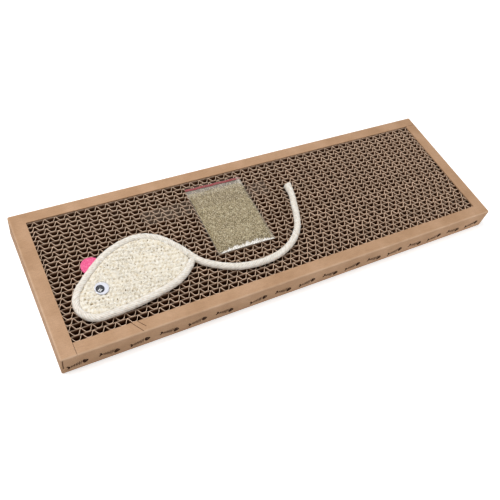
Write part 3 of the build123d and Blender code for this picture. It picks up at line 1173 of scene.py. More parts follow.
@dataclass
class Pad:
    """Strips of single-wall corrugated board stood on edge, side by side.

    Attributes:
        flute: from one crest of the fluting to the next.
        liner, medium: thickness of the flat papers and of the bent one between them.
        leg: how far along the board the bent paper takes to cross from one flat paper to the other.
        sharpness: how tight its bends are at the front liner and at the back one; the higher, the nearer they
            come to corners.
        front_count: how many strips make up the front stack, which was glued less neatly than the back one.
        lean: how far the bent paper keeps to its front liner, where its bends are wide, while those at its
            back liner are narrow.
        front_step, back_step: the mean shift from strip to strip in each stack and its spread, as shares of a
            flute.
        drift, drift_run: how far a strip's flutes stray from even steps, as a share of a flute, and over what
            length.
        samples, liner_samples: points along each flute of the bent paper and of the flat ones.
        sway, sway_run: how far the glued block of strips strays from straight, and over what length.
        unevenness, saw_run: how far the saw left the cut edges under the highest ones, and over what length.
        edge_rows: how far under a cut edge the rows of points lie; its own shade begins at the last.
        edge_thinning: the paper's thickness at its cut edge, as a share.
        edge_tones: the range of the strips' own shades at the bent paper's cut edge.
        liner_tone: the flat papers' cut edge, as a share of that shade.
        wall_tone: the shade down inside the flutes.
        seed: picks all that is random in the pad.
    """

    flute: float = 0.00876
    liner: float = 0.00016
    medium: float = 0.00036
    leg: float = 0.0022
    sharpness: tuple[float, float] = (3.2, 6.0)
    front_count: int = 12
    lean: float = 0.5
    front_step: tuple[float, float] = (-0.2, 0.1)
    back_step: tuple[float, float] = (-0.05, 0.06)
    drift: float = 0.035
    drift_run: float = 0.09
    samples: int = 26
    liner_samples: int = 5
    sway: float = 0.0004
    sway_run: float = 0.14
    unevenness: float = 0.00035
    saw_run: float = 0.012
    edge_rows: tuple[float, float, float] = (0.004, 0.0008, 0.0002)
    edge_thinning: float = 0.7
    edge_tones: tuple[float, float] = (0.7, 1.0)
    liner_tone: float = 0.45
    wall_tone: float = 0.75
    seed: int = 40

    def build(self) -> None:
        """Makes each strip in place of its plain solid."""
        strips = sorted(name for name in frame["nodes"] if name.startswith("corrugated_strip_"))
        ends = [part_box(strips[0])[0].y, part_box(strips[-1])[1].y]
        rng = np.random.default_rng(self.seed)
        front = rng.normal(*self.front_step, self.front_count)
        back = rng.normal(*self.back_step, len(strips) - self.front_count)
        for number, (node, start) in enumerate(zip(strips, np.cumsum(np.concatenate([front, back])))):
            strip = self.strip(node, number, start, ends)
            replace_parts(strip, node)

    def strip(self, node: str, number: int, start: float, ends: Sequence[float]) -> bpy.types.Object:
        """Makes one strip: two flat papers and a bent one between them, each a thin closed sheet on edge.

        The bent paper's middle line is a zigzag, the arcsine of a sine, made taller than the board, moved by
        the lean and cut off at the two liners with rounded corners. Its steps drift slowly along the board.

        Args:
            node: the solid that it stands for.
            number: counts from the front wall.
            start: where its first flute begins, as a share of a flute; the boards are stacked nearly in step.
            ends: the block's front and back along Y.

        Returns:
            The strip.
        """
        low, high = (np.array(corner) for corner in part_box(node))
        rng = np.random.default_rng(self.seed + number)
        board = high[1] - low[1]
        middle = (low[1] + high[1]) / 2
        flutes = ceil((high[0] - low[0]) / self.flute)
        x = np.linspace(low[0], high[0], flutes * self.samples)
        drift = self.drift * RandomWaves(self.drift_run, self.seed + 100 + number, 8).at(x)
        phase = 2 * pi * (x / self.flute + start + drift)
        tall = np.arcsin(np.sin(phase)) * self.flute / (pi * self.leg) - self.lean
        power = np.where(tall < 0, *self.sharpness)
        bent = tall / (1 + np.abs(tall) ** power) ** (1 / power)
        wave = (board / 2 - self.liner - self.medium / 2) * bent / np.abs(bent).max()
        lined = board / 2 - self.liner / 2
        papers = Shells()
        tone = rng.uniform(*self.edge_tones)
        self.paper(papers, x, middle + wave, self.medium, low[2], high[2], ends, rng, tone)
        x = np.linspace(low[0], high[0], flutes * self.liner_samples)
        for side in (lined, -lined):
            flat = np.full_like(x, middle + side)
            self.paper(papers, x, flat, self.liner, low[2], high[2], ends, rng, self.liner_tone * tone)
        return papers.piece(f"{node}_papers", CorrugatedBoard(), Body.SCRATCHER, smooth_angle=50)

    def paper(self, papers: Shells, x: Array, y: Array, thickness: float, bottom: float, top: float,
              ends: Sequence[float], rng: np.random.Generator, edge_tone: float) -> None:
        """Adds one upright paper along a line, with an uneven cut edge on top.

        Each side stands half a thickness off the line, square to it, and the whole sways with the block.

        Args:
            papers: takes the paper.
            x, y: the line.
            thickness: the paper's own.
            bottom, top: its heights.
            ends: the block's front and back along Y, where the sway dies out.
            rng: draws the cut edge.
            edge_tone: the cut edge's shade.
        """
        slope = np.gradient(y, x)
        square = np.stack([-slope, np.ones_like(slope)], axis=-1) / np.hypot(1, slope)[:, None]
        wander = RandomWaves(self.saw_run, int(rng.integers(1 << 30)), 10).at(x)
        cut = top - self.unevenness * np.clip(0.45 + 0.3 * wander, 0, 1)
        waist, shoulder, lip = self.edge_rows
        level = (np.full_like(x, bottom), np.full_like(x, top - waist))
        heights = np.stack([*level, cut - shoulder, cut - lip, cut], axis=1)
        draw_in = np.array((1.0, 1.0, 1.0, 1.0, self.edge_thinning))
        tones = np.array((*[self.wall_tone] * 3, edge_tone, edge_tone))
        span = (2 * y - ends[0] - ends[1]) / (ends[1] - ends[0])
        sway = self.sway * RandomWaves(self.sway_run, self.seed, 8).at(x) * np.clip(1 - span**2, 0, 1)
        sides = []
        for side in (0.5, -0.5):
            offset = side * thickness * square[:, None, :] * draw_in[None, :, None]
            stood = (x[:, None] + offset[..., 0], (y + sway)[:, None] + offset[..., 1], heights)
            sides.append(np.stack(stood, axis=-1))
        papers.add_sheet(sides[0], sides[1], tones)


def even_steps(path: Array, step: float) -> tuple[Array, Array]:
    """Spaces points evenly along a line.

    Args:
        path: an array of points by 3.
        step: the distance wanted between points.

    Returns:
        The new points and each one's distance from the start.
    """
    travelled = np.concatenate([[0], np.cumsum(np.linalg.norm(np.diff(path, axis=0), axis=1))])
    distance = np.linspace(0, travelled[-1], ceil(travelled[-1] / step) + 1)
    points = np.stack([np.interp(distance, travelled, path[:, axis]) for axis in range(3)], axis=-1)
    return points, distance


@dataclass
class Rope:
    """Soft cotton rope of many thin yarns.

    Attributes:
        radius: half its diameter.
        strands: how many yarns are laid together.
        lay: the length in which a yarn goes once round.
        groove: how deep the grooves between yarns are, as a share of the radius.
        roughness, rough_run: how uneven its skin is, as a share of the radius, and over what length.
        around: points round the rope.
        step: from one ring of points to the next.
    """

    radius: float = 0.003
    strands: int = 8
    lay: float = 0.019
    groove: float = 0.075
    roughness: float = 0.02
    rough_run: float = 0.004
    around: int = 56
    step: float = 0.0005

    def surface(self, path: Array, distance: Array, swell: Array | float = 1.0,
                seed: int = 1) -> tuple[Array, Array]:
        """Works out the rope's skin along a level line.

        A ring's radius falls into a groove, one minus the size of a cosine, between neighbouring yarns, which
        turn with the distance along the rope. Random waves make it uneven.

        Args:
            path: evenly spaced points by 3.
            distance: each point's distance along the rope.
            swell: the rope's thickness, as a share of its own, at each point.
            seed: picks the unevenness.

        Returns:
            An array of rings by points by 3, and how far each point stands out, from 0 in a groove to 1.
        """
        turn = np.linspace(0, 2 * pi, self.around, endpoint=False)
        along = distance[:, None]
        twist = turn[None, :] + 2 * pi * along / self.lay
        between = (1 - np.abs(np.cos(self.strands / 2 * twist))) ** 2
        rough = RandomWaves(self.rough_run, seed).at(along, self.radius * np.cos(turn)[None, :])
        skin = 1 - self.groove * between + self.roughness * rough
        radius = self.radius * np.broadcast_to(swell, distance.shape)[:, None] * skin
        tangent = np.gradient(path, axis=0)
        tangent /= np.linalg.norm(tangent, axis=1, keepdims=True)
        aside = np.stack([-tangent[:, 1], tangent[:, 0], np.zeros(len(path))], axis=-1)
        up = np.cross(tangent, aside)
        ring = np.cos(turn)[None, :, None] * aside[:, None] + np.sin(turn)[None, :, None] * up[:, None]
        # the second value sets the painted shade in the rope's grooves
        return path[:, None] + radius[..., None] * ring, np.clip(0.8 - 0.6 * between + 0.12 * rough, 0, 1)


@dataclass
class Mouse:
    """The flat loofah mouse: its body, the rope round its edge, the rope tail, a felt ear and a rolling eye.

    Attributes:
        tail_route: the tail's points on the pad, from where it leaves the body to its cut end.
        heading: the direction in which the edge rope leaves that place, in degrees.
        bends: the edge rope's radii and left turns in degrees, in order.
        tail_length: along the tail's middle.
        flare: how much thicker the tail is at its cut end, as a share.
        flare_start: where along the tail it begins to thicken, as a share of its length.
        cut_slant: how far the cut end runs on at one side, as a share of the distance from its middle.
        cut_reach: how far back from the end this is felt.
        blunting: how much thinner the edge rope's two ends are, as a share.
        blunt_reach: over what length its first and its last end grow thinner.
        gap: between the rope and the body.
        tuck: how far the edge rope's last end runs in under the tail.
        overlap: how far the body's upper edge leans out over the rope's side.
        nibble: how far it is drawn in at its ragged places.
        face_drop: how far the body's mean face lies under the top of its solid.
        rim_drop, rim_reach: how far the rim is rounded down, and how far in from it this is felt.
        calm_reach: how far in from the rim the fibres reach their full height.
        weave: the rows that show in the pressed loofah: each one's wavelength, direction in degrees and
            strength.
        drift: how far these rows stray, as a share of a wavelength.
        outline_step: from one point of the body's outline to the next.
        fibre_count: how many loose fibres lie on the body.
        fibre_lift: how far their middles lie over its face.
        ear_centre, ear_radius: the disc that the ear is part of.
        rope: the rope that both the edge and the tail are made of.
        seed: picks all that is random in the mouse.
        rope_height: the rope's middle over the floor, from its solid.
    """

    tail_route: tuple[tuple[float, float], ...] = (
        (-0.0884, -0.0173), (-0.0843, -0.0252), (-0.0745, -0.0328), (-0.0619, -0.0400), (-0.0470, -0.0442),
        (-0.0300, -0.0452), (-0.0130, -0.0426), (0.0023, -0.0352), (0.0140, -0.0238), (0.0207, -0.0102),
        (0.0245, 0.0019), (0.0290, 0.0134), (0.0301, 0.0243),
    )
    heading: float = 117.5
    bends: tuple[tuple[float, float], ...] = (
        (0.105, 13.0), (0.0316, 59.5), (0.070, 27.0), (0.195, 7.5),
        (0.0265, 30.5), (0.0146, 104.5), (0.220, 16.0), (0.045, 35.4),
    )
    tail_length: float = 0.1692
    flare: float = 0.22
    flare_start: float = 0.93
    cut_slant: float = 0.2
    cut_reach: float = 0.007
    blunting: float = 0.3
    blunt_reach: tuple[float, float] = (0.001, 0.002)
    gap: float = 0.0002
    tuck: float = 0.0025
    overlap: float = 0.0007
    nibble: float = 0.0009
    face_drop: float = 0.0004
    rim_drop: float = 0.0005
    rim_reach: float = 0.0015
    calm_reach: float = 0.0012
    weave: tuple[tuple[float, float, float], ...] = (
        (0.0041, 78.0, 0.11), (0.0085, 15.0, 0.07), (0.0031, -31.0, 0.07),
    )
    drift: float = 0.08
    outline_step: float = 0.00036
    fibre_count: int = 700
    fibre_lift: float = 0.00005
    ear_centre: tuple[float, float] = (-0.1659, 0.0006)
    ear_radius: float = 0.0083
    rope: Rope = field(default_factory=Rope)
    seed: int = 7
    rope_height: float = field(init=False, default=0.0)

    def build(self) -> None:
        """Makes the tail first, then the rope, the body, the ear, the eye and the glue."""
        low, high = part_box("edge_rope")
        self.rope_height = (low.z + high.z) / 2
        self.tail()
        self.edge_rope()
        self.body()
        self.ear()
        RollingEye().build()
        HotMeltGlue().dress(frame["nodes"]["mouse_glue_dots"])

    def tail(self) -> None:
        """Lays the tail along a smooth spline through its route; it flares at its slanting cut end."""
        curve = bpy.data.curves.new("tail_line", "CURVE")
        curve.dimensions = "3D"
        curve.resolution_u = 24
        spline = curve.splines.new("NURBS")
        spline.points.add(len(self.tail_route) - 1)
        for point, (x, y) in zip(spline.points, self.tail_route):
            point.co = (x, y, self.rope_height, 1)
        spline.order_u = 3
        spline.use_endpoint_u = True
        line = bpy.data.objects.new("tail_line", curve)
        drawn = bpy.data.meshes.new_from_object(line)
        points = np.array([vertex.co for vertex in drawn.vertices])
        bpy.data.objects.remove(line)
        path, distance = even_steps(points, self.rope.step)
        end = distance[-1]
        swell = 1 + self.flare * smooth_step(distance, self.flare_start * end, end)
        grid, stand = self.rope.surface(path, distance, swell, self.seed)
        grid = self.slant(grid, path, distance)
        tail = Shells()
        tail.add_tube(grid, stand)
        piece = tail.piece("tail_rope", CottonRope(), Body.SCRATCHER)
        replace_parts(piece, "rope_tail")

    def slant(self, grid: Array, path: Array, distance: Array) -> Array:
        """Shears the last of the tail, so that its right side runs further than its left.

        Args:
            grid: the tail's rings.
            path, distance: its line and the distance along it.

        Returns:
            The sheared rings.
        """
        end = path[-1] - path[-2]
        end /= np.linalg.norm(end)
        right = np.array((end[1], -end[0], 0))
        lateral = (grid - path[:, None]) @ right
        reach = self.cut_slant * smooth_step(distance, distance[-1] - self.cut_reach, distance[-1])
        return grid + (reach[:, None] * lateral)[..., None] * end

    def edge_line(self) -> Array:
        """Joins the edge rope's bends, each an arc that starts in the direction where the last one ended.

        Returns:
            An array of points by 3.
        """
        place = np.array(self.tail_route[0])
        heading = radians(self.heading)
        arcs = []
        for bend_radius, turn in self.bends:
            centre = place + bend_radius * np.array((-sin(heading), cos(heading)))
            angles = heading - pi / 2 + np.linspace(0, radians(turn), 40)
            arc = centre + bend_radius * np.stack([np.cos(angles), np.sin(angles)], axis=-1)
            arcs.append(arc if not arcs else arc[1:])
            place = arc[-1]
            heading += radians(turn)
        line = np.concatenate(arcs)
        return np.column_stack([line, np.full(len(line), self.rope_height)])

    def edge_rope(self) -> None:
        """Carries the rope round the body's edge, with blunt ends, the last one tucked under the tail."""
        line = self.edge_line()
        tucked = line[-1] + self.tuck * (line[-1] - line[-2]) / np.linalg.norm(line[-1] - line[-2])
        path, distance = even_steps(np.concatenate([line, tucked[None]]), self.rope.step)
        end = distance[-1]
        first_reach, last_reach = self.blunt_reach
        first, last = 1 - smooth_step(distance, 0, first_reach), smooth_step(distance, end - last_reach, end)
        blunt = 1 - self.blunting * first - self.blunting * last
        grid, stand = self.rope.surface(path, -distance, blunt, self.seed + 1)
        rope = Shells()
        rope.add_tube(grid, stand)
        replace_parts(rope.piece("edge_binding", CottonRope(), Body.SCRATCHER), "edge_rope")

    def inset_line(self, inset: float, step: float) -> Array:
        """Moves the edge rope's line towards the body's inside and closes it.

        Args:
            inset: how far it is moved.
            step: the distance wanted between points.

        Returns:
            An array of points by (x, y).
        """
        path = even_steps(self.edge_line(), step)[0]
        tangent = np.gradient(path[:, :2], axis=0)
        tangent /= np.linalg.norm(tangent, axis=1, keepdims=True)
        inside = path[:, :2] + inset * np.stack([-tangent[:, 1], tangent[:, 0]], axis=-1)
        closed = np.column_stack([np.concatenate([inside, inside[:1]]), np.zeros(len(inside) + 1)])
        return even_steps(closed, step)[0][:-1, :2]

    def fibre_height(self, x: Array, y: Array) -> tuple[Array, Array]:
        """Works out how far the pressed fibres stand over or under the body's face.

        Knots are random waves, strands are the ridges of others, which is one minus their size, and a pit
        opens wherever one more field runs high. The faint rows of the weave, sines that drift at random, lie
        under them.

        Args:
            x, y: places on the body.

        Returns:
            The height in metres, and the same as a value from 0 in a pit to 1 on a knot.
        """
        knots = RandomWaves(0.0029, self.seed + 10, 20).at(x, y)
        strands = 1 - np.minimum(np.abs(RandomWaves(0.0036, self.seed + 11, 16).at(x, y)), 1)
        cross = 1 - np.minimum(np.abs(RandomWaves(0.0024, self.seed + 12, 16).at(x, y)), 1)
        pits = smooth_step(RandomWaves(0.0031, self.seed + 13, 20).at(x, y), 1.8, 2.3)
        drift = self.drift * RandomWaves(0.014, self.seed + 14, 10).at(x, y)
        weave = np.zeros_like(x)
        for wavelength, heading, strength in self.weave:
            along = x * cos(radians(heading)) + y * sin(radians(heading))
            weave += strength * np.sin(2 * pi * (along / wavelength + drift))
        height = 0.0002 * knots + 0.00026 * strands + 0.0002 * cross + 0.0009 * weave - 0.0012 * pits
        # stand sets the fibres' tone; its fall in the pits paints shade there
        stand = 0.49 + 0.06 * knots + 0.1 * strands + 0.08 * cross + weave - 0.65 * pits
        return height, np.clip(stand, 0, 1)

    def body(self) -> None:
        """Makes the pressed loofah and lays loose fibres over its face.

        Rings of the body's outline shrink to its middle on top and underneath. On top they follow the fibres'
        height, and the rim is rounded and drawn in here and there, which leaves dark gaps along the rope.
        """
        low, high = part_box("loofah_body")
        outline = self.inset_line(self.rope.radius + self.gap, self.outline_step)
        middle = outline.mean(0)
        out = outline - middle
        run = np.arange(len(outline)) * self.outline_step
        lap = run / run[-1] * 2 * pi
        ragged = RandomWaves(0.011, self.seed + 20, 10).at(np.cos(lap) * 0.04, np.sin(lap) * 0.04)
        nibble = np.clip(ragged - 0.9, 0, 1)
        reach = np.linalg.norm(out, axis=1)
        rings, least = 78, 0.006
        share = np.linspace(least, 1, rings)
        edge = 1 + (self.overlap - nibble * self.nibble) / reach
        top = middle + share[:, None, None] * out * edge[:, None]
        height, stand = self.fibre_height(top[..., 0], top[..., 1])
        from_rim = (1 - share)[:, None] * reach
        rounding = self.rim_drop * (1 - smooth_step(from_rim, 0, self.rim_reach)) ** 2
        calm = smooth_step(from_rim, 0.0, self.calm_reach)
        z_top = high.z - self.face_drop + height * calm - rounding
        top_grid = np.concatenate([top, z_top[..., None]], axis=-1)
        side_share = np.linspace(0, 1, 7)[1:, None]
        side_z = z_top[-1][None] * (1 - side_share) + low.z * side_share
        foot = middle + out
        side_line = top[-1] + smooth_step(side_share, 0, 0.5)[..., None] * (foot - top[-1])
        side = np.concatenate([side_line, side_z[..., None]], axis=-1)
        under_share = np.linspace(1, least, 10)[1:, None, None]
        under = middle + under_share * out
        under_grid = np.concatenate([under, np.full((*under.shape[:2], 1), low.z)], axis=-1)
        shade = np.concatenate([stand, np.full((len(side) + len(under), len(outline)), 0.35)])
        loofah = Shells()
        loofah.add_tube(np.concatenate([top_grid, side, under_grid]), shade)
        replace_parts(loofah.piece("pressed_loofah", LoofahFibre(), Body.SCRATCHER), "loofah_body")
        self.loose_fibres(middle, out, high.z)

    def loose_fibres(self, middle: Array, out: Array, face: float) -> None:
        """Scatters short curved fibres over the body's face.

        Each fibre is a three-sided tube along an arc, whose points follow the height of the fibres under it.

        Args:
            middle, out: the body's middle and its outline from there.
            face: the height of its face.
        """
        count, knots, sides = self.fibre_count, 7, 3
        rng = np.random.default_rng(self.seed + 30)
        spot = out[rng.integers(0, len(out), count)] * np.sqrt(rng.uniform(0, 0.86, count))[:, None] + middle
        length = rng.uniform(0.003, 0.010, count)
        heading = rng.uniform(0, 2 * pi, count)
        bend = rng.normal(0, 0.9, count)
        share = np.linspace(-0.5, 0.5, knots)
        angle = heading[:, None] + bend[:, None] * share
        x = spot[:, :1] + length[:, None] * share * np.cos(angle)
        y = spot[:, 1:] + length[:, None] * share * np.sin(angle)
        radius = rng.uniform(0.00009, 0.0002, count)[:, None] * (1 - 1.2 * share**2)
        z = face - self.face_drop + self.fibre_height(x, y)[0] + self.fibre_lift
        turn = 2 * pi * np.arange(sides) / sides
        ring_x = x[..., None] - radius[..., None] * np.sin(angle)[..., None] * np.cos(turn)
        ring_y = y[..., None] + radius[..., None] * np.cos(angle)[..., None] * np.cos(turn)
        ring_z = z[..., None] + radius[..., None] * np.sin(turn)
        points = np.stack([ring_x, ring_y, ring_z], axis=-1).reshape(count, knots * sides, 3)
        fibres = Shells()
        fibres.add_copies(points, tube_triangles(knots, sides), rng.uniform(0.42, 1.0, count))
        fibres.piece("loose_loofah_fibres", LoofahFibre(), Body.SCRATCHER)

    def ear(self) -> None:
        """Makes the felt ear: the part of a disc that shows beyond the rope, soft-edged and a little domed.

        Lines run from the rope's outside to the disc's rim. The thickness falls off along a quarter circle
        within a felt's thickness of the rim.
        """
        low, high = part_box("felt_ear")
        outside = self.inset_line(-(self.rope.radius + self.gap), 0.0003)
        centre, radius = np.array(self.ear_centre), self.ear_radius
        near = np.flatnonzero(np.linalg.norm(outside - centre, axis=1) < radius)
        inner = outside[near]
        columns = len(inner)
        first, last = (np.arctan2(*(inner[end] - centre)[::-1]) for end in (0, -1))
        last += 2 * pi * (last < first)
        sweep = np.linspace(first, last, columns)
        rim = centre + radius * np.stack([np.cos(sweep), np.sin(sweep)], axis=-1)
        share = np.sin(np.linspace(0, pi / 2, 26))[:, None, None]
        flat = inner + share * (rim - inner)
        width = np.linalg.norm(rim - inner, axis=1)
        from_rim = np.minimum((1 - share[..., 0]) * width, radius)
        thick = (high.z - low.z) / 2
        full = np.sqrt(np.clip(1 - (1 - np.clip(from_rim / thick, 0, 1)) ** 2, 0.02, 1))
        fuzz = 0.00008 * RandomWaves(0.0013, self.seed + 40).at(flat[..., 0], flat[..., 1])
        centre_z = (high.z + low.z) / 2
        top = np.concatenate([flat, (centre_z + thick * full + fuzz)[..., None]], axis=-1)
        under = np.concatenate([flat, (centre_z - thick * full)[..., None]], axis=-1)
        ear = Shells()
        ear.add_sheet(top, under)
        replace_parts(ear.piece("pink_ear", PinkFelt(), Body.SCRATCHER, smooth_angle=70), "felt_ear")


@dataclass
class RollingEye:
    """The eye: a white disc, a loose dark pupil on it and a clear dome over both.

    Attributes:
        edge: the radius of the softened edges.
        wall: how thick the dome is.
        skirt: the height of the dome's upright rim.
        axis_gap: how near to the axis a turned profile comes.
        around: points round each ring.
    """

    edge: float = 0.00018
    wall: float = 0.0004
    skirt: float = 0.001
    axis_gap: float = 0.0001
    around: int = 72

    def build(self) -> None:
        """Makes the three pieces as turned shapes in place of their solids."""
        low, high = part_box("eye_backing")
        centre = (low + high) / 2
        radius = (high.x - low.x) / 2
        self.disc("eye_white", "eye_backing", WhitePlastic(), Body.SCRATCHER)
        self.disc("eye_black", "eye_pupil", BlackPlastic(), Body.PUPIL)
        dome_low, dome_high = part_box("eye_dome")
        rise = dome_high.z - dome_low.z
        outer = self.cap(radius, self.skirt, rise - self.skirt)
        inner = self.cap(radius - self.wall, self.skirt, rise - self.skirt - self.wall)[::-1]
        foot = np.array([(radius - self.wall, 0.0), (radius, 0.0)])
        profile = np.concatenate([foot[1:], outer, inner, foot[:1]])
        place = (centre.x, centre.y, dome_low.z)
        self.turn("eye_glass", "eye_dome", profile, place, ClearPlastic(), Body.SCRATCHER, hollow=True)

    def cap(self, radius: float, skirt: float, rise: float) -> Array:
        """Draws half a shallow cap, as (distance from the axis, height), from its rim to near its crown.

        Args:
            radius: the rim's radius.
            skirt: the rim's height.
            rise: the crown's height over the rim.

        Returns:
            An array of points by 2.
        """
        sphere = (radius**2 + rise**2) / (2 * rise)
        rim, crown = np.arcsin(radius / sphere), 0.004
        angle = np.linspace(rim, crown, 22)
        return np.stack([sphere * np.sin(angle), skirt + rise - sphere * (1 - np.cos(angle))], axis=-1)

    def disc(self, name: str, node: str, finish: Finish, body: Body) -> None:
        """Makes a flat disc with softened edges from a node's box.

        Args:
            name: the piece's name.
            node: the solid that it stands for.
            finish: what it is dressed in.
            body: the body that it rides on.
        """
        low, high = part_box(node)
        radius, thick = (high.x - low.x) / 2, high.z - low.z
        quarter = np.linspace(0, pi / 2, 6)
        reach = radius - self.edge + self.edge * np.cos(quarter)
        height = thick - self.edge + self.edge * np.sin(quarter)
        upper = np.stack([reach, height], axis=-1)
        lower = np.stack([upper[::-1, 0], thick - upper[::-1, 1]], axis=-1)
        first, last = [(self.axis_gap, 0.0)], [(0.5 * radius, thick), (self.axis_gap, thick)]
        profile = np.concatenate([first, lower, upper, last])
        place = ((low.x + high.x) / 2, (low.y + high.y) / 2, low.z)
        self.turn(name, node, profile, place, finish, body)

    def turn(self, name: str, node: str, profile: Array, place: Sequence[float], finish: Finish, body: Body,
             hollow: bool = False) -> None:
        """Turns a profile about an upright axis: each point sweeps a circle round it.

        Args:
            name: the piece's name.
            node: the solid that it stands for.
            profile: points by (distance from the axis, height).
            place: the axis's foot.
            finish: what it is dressed in.
            body: the body that it rides on.
            hollow: joins the profile's end to its start, in place of flat ends.
        """
        turn = np.linspace(0, 2 * pi, self.around, endpoint=False)
        x = place[0] + profile[:, :1] * np.cos(turn)
        y = place[1] + profile[:, :1] * np.sin(turn)
        z = np.broadcast_to(place[2] + profile[:, 1:], x.shape)
        shape = Shells()
        grid = np.stack([x, y, z], axis=-1)
        if hollow:
            shape.add_hoop(grid)
        else:
            shape.add_tube(grid)
        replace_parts(shape.piece(name, finish, body, smooth_angle=50), node)


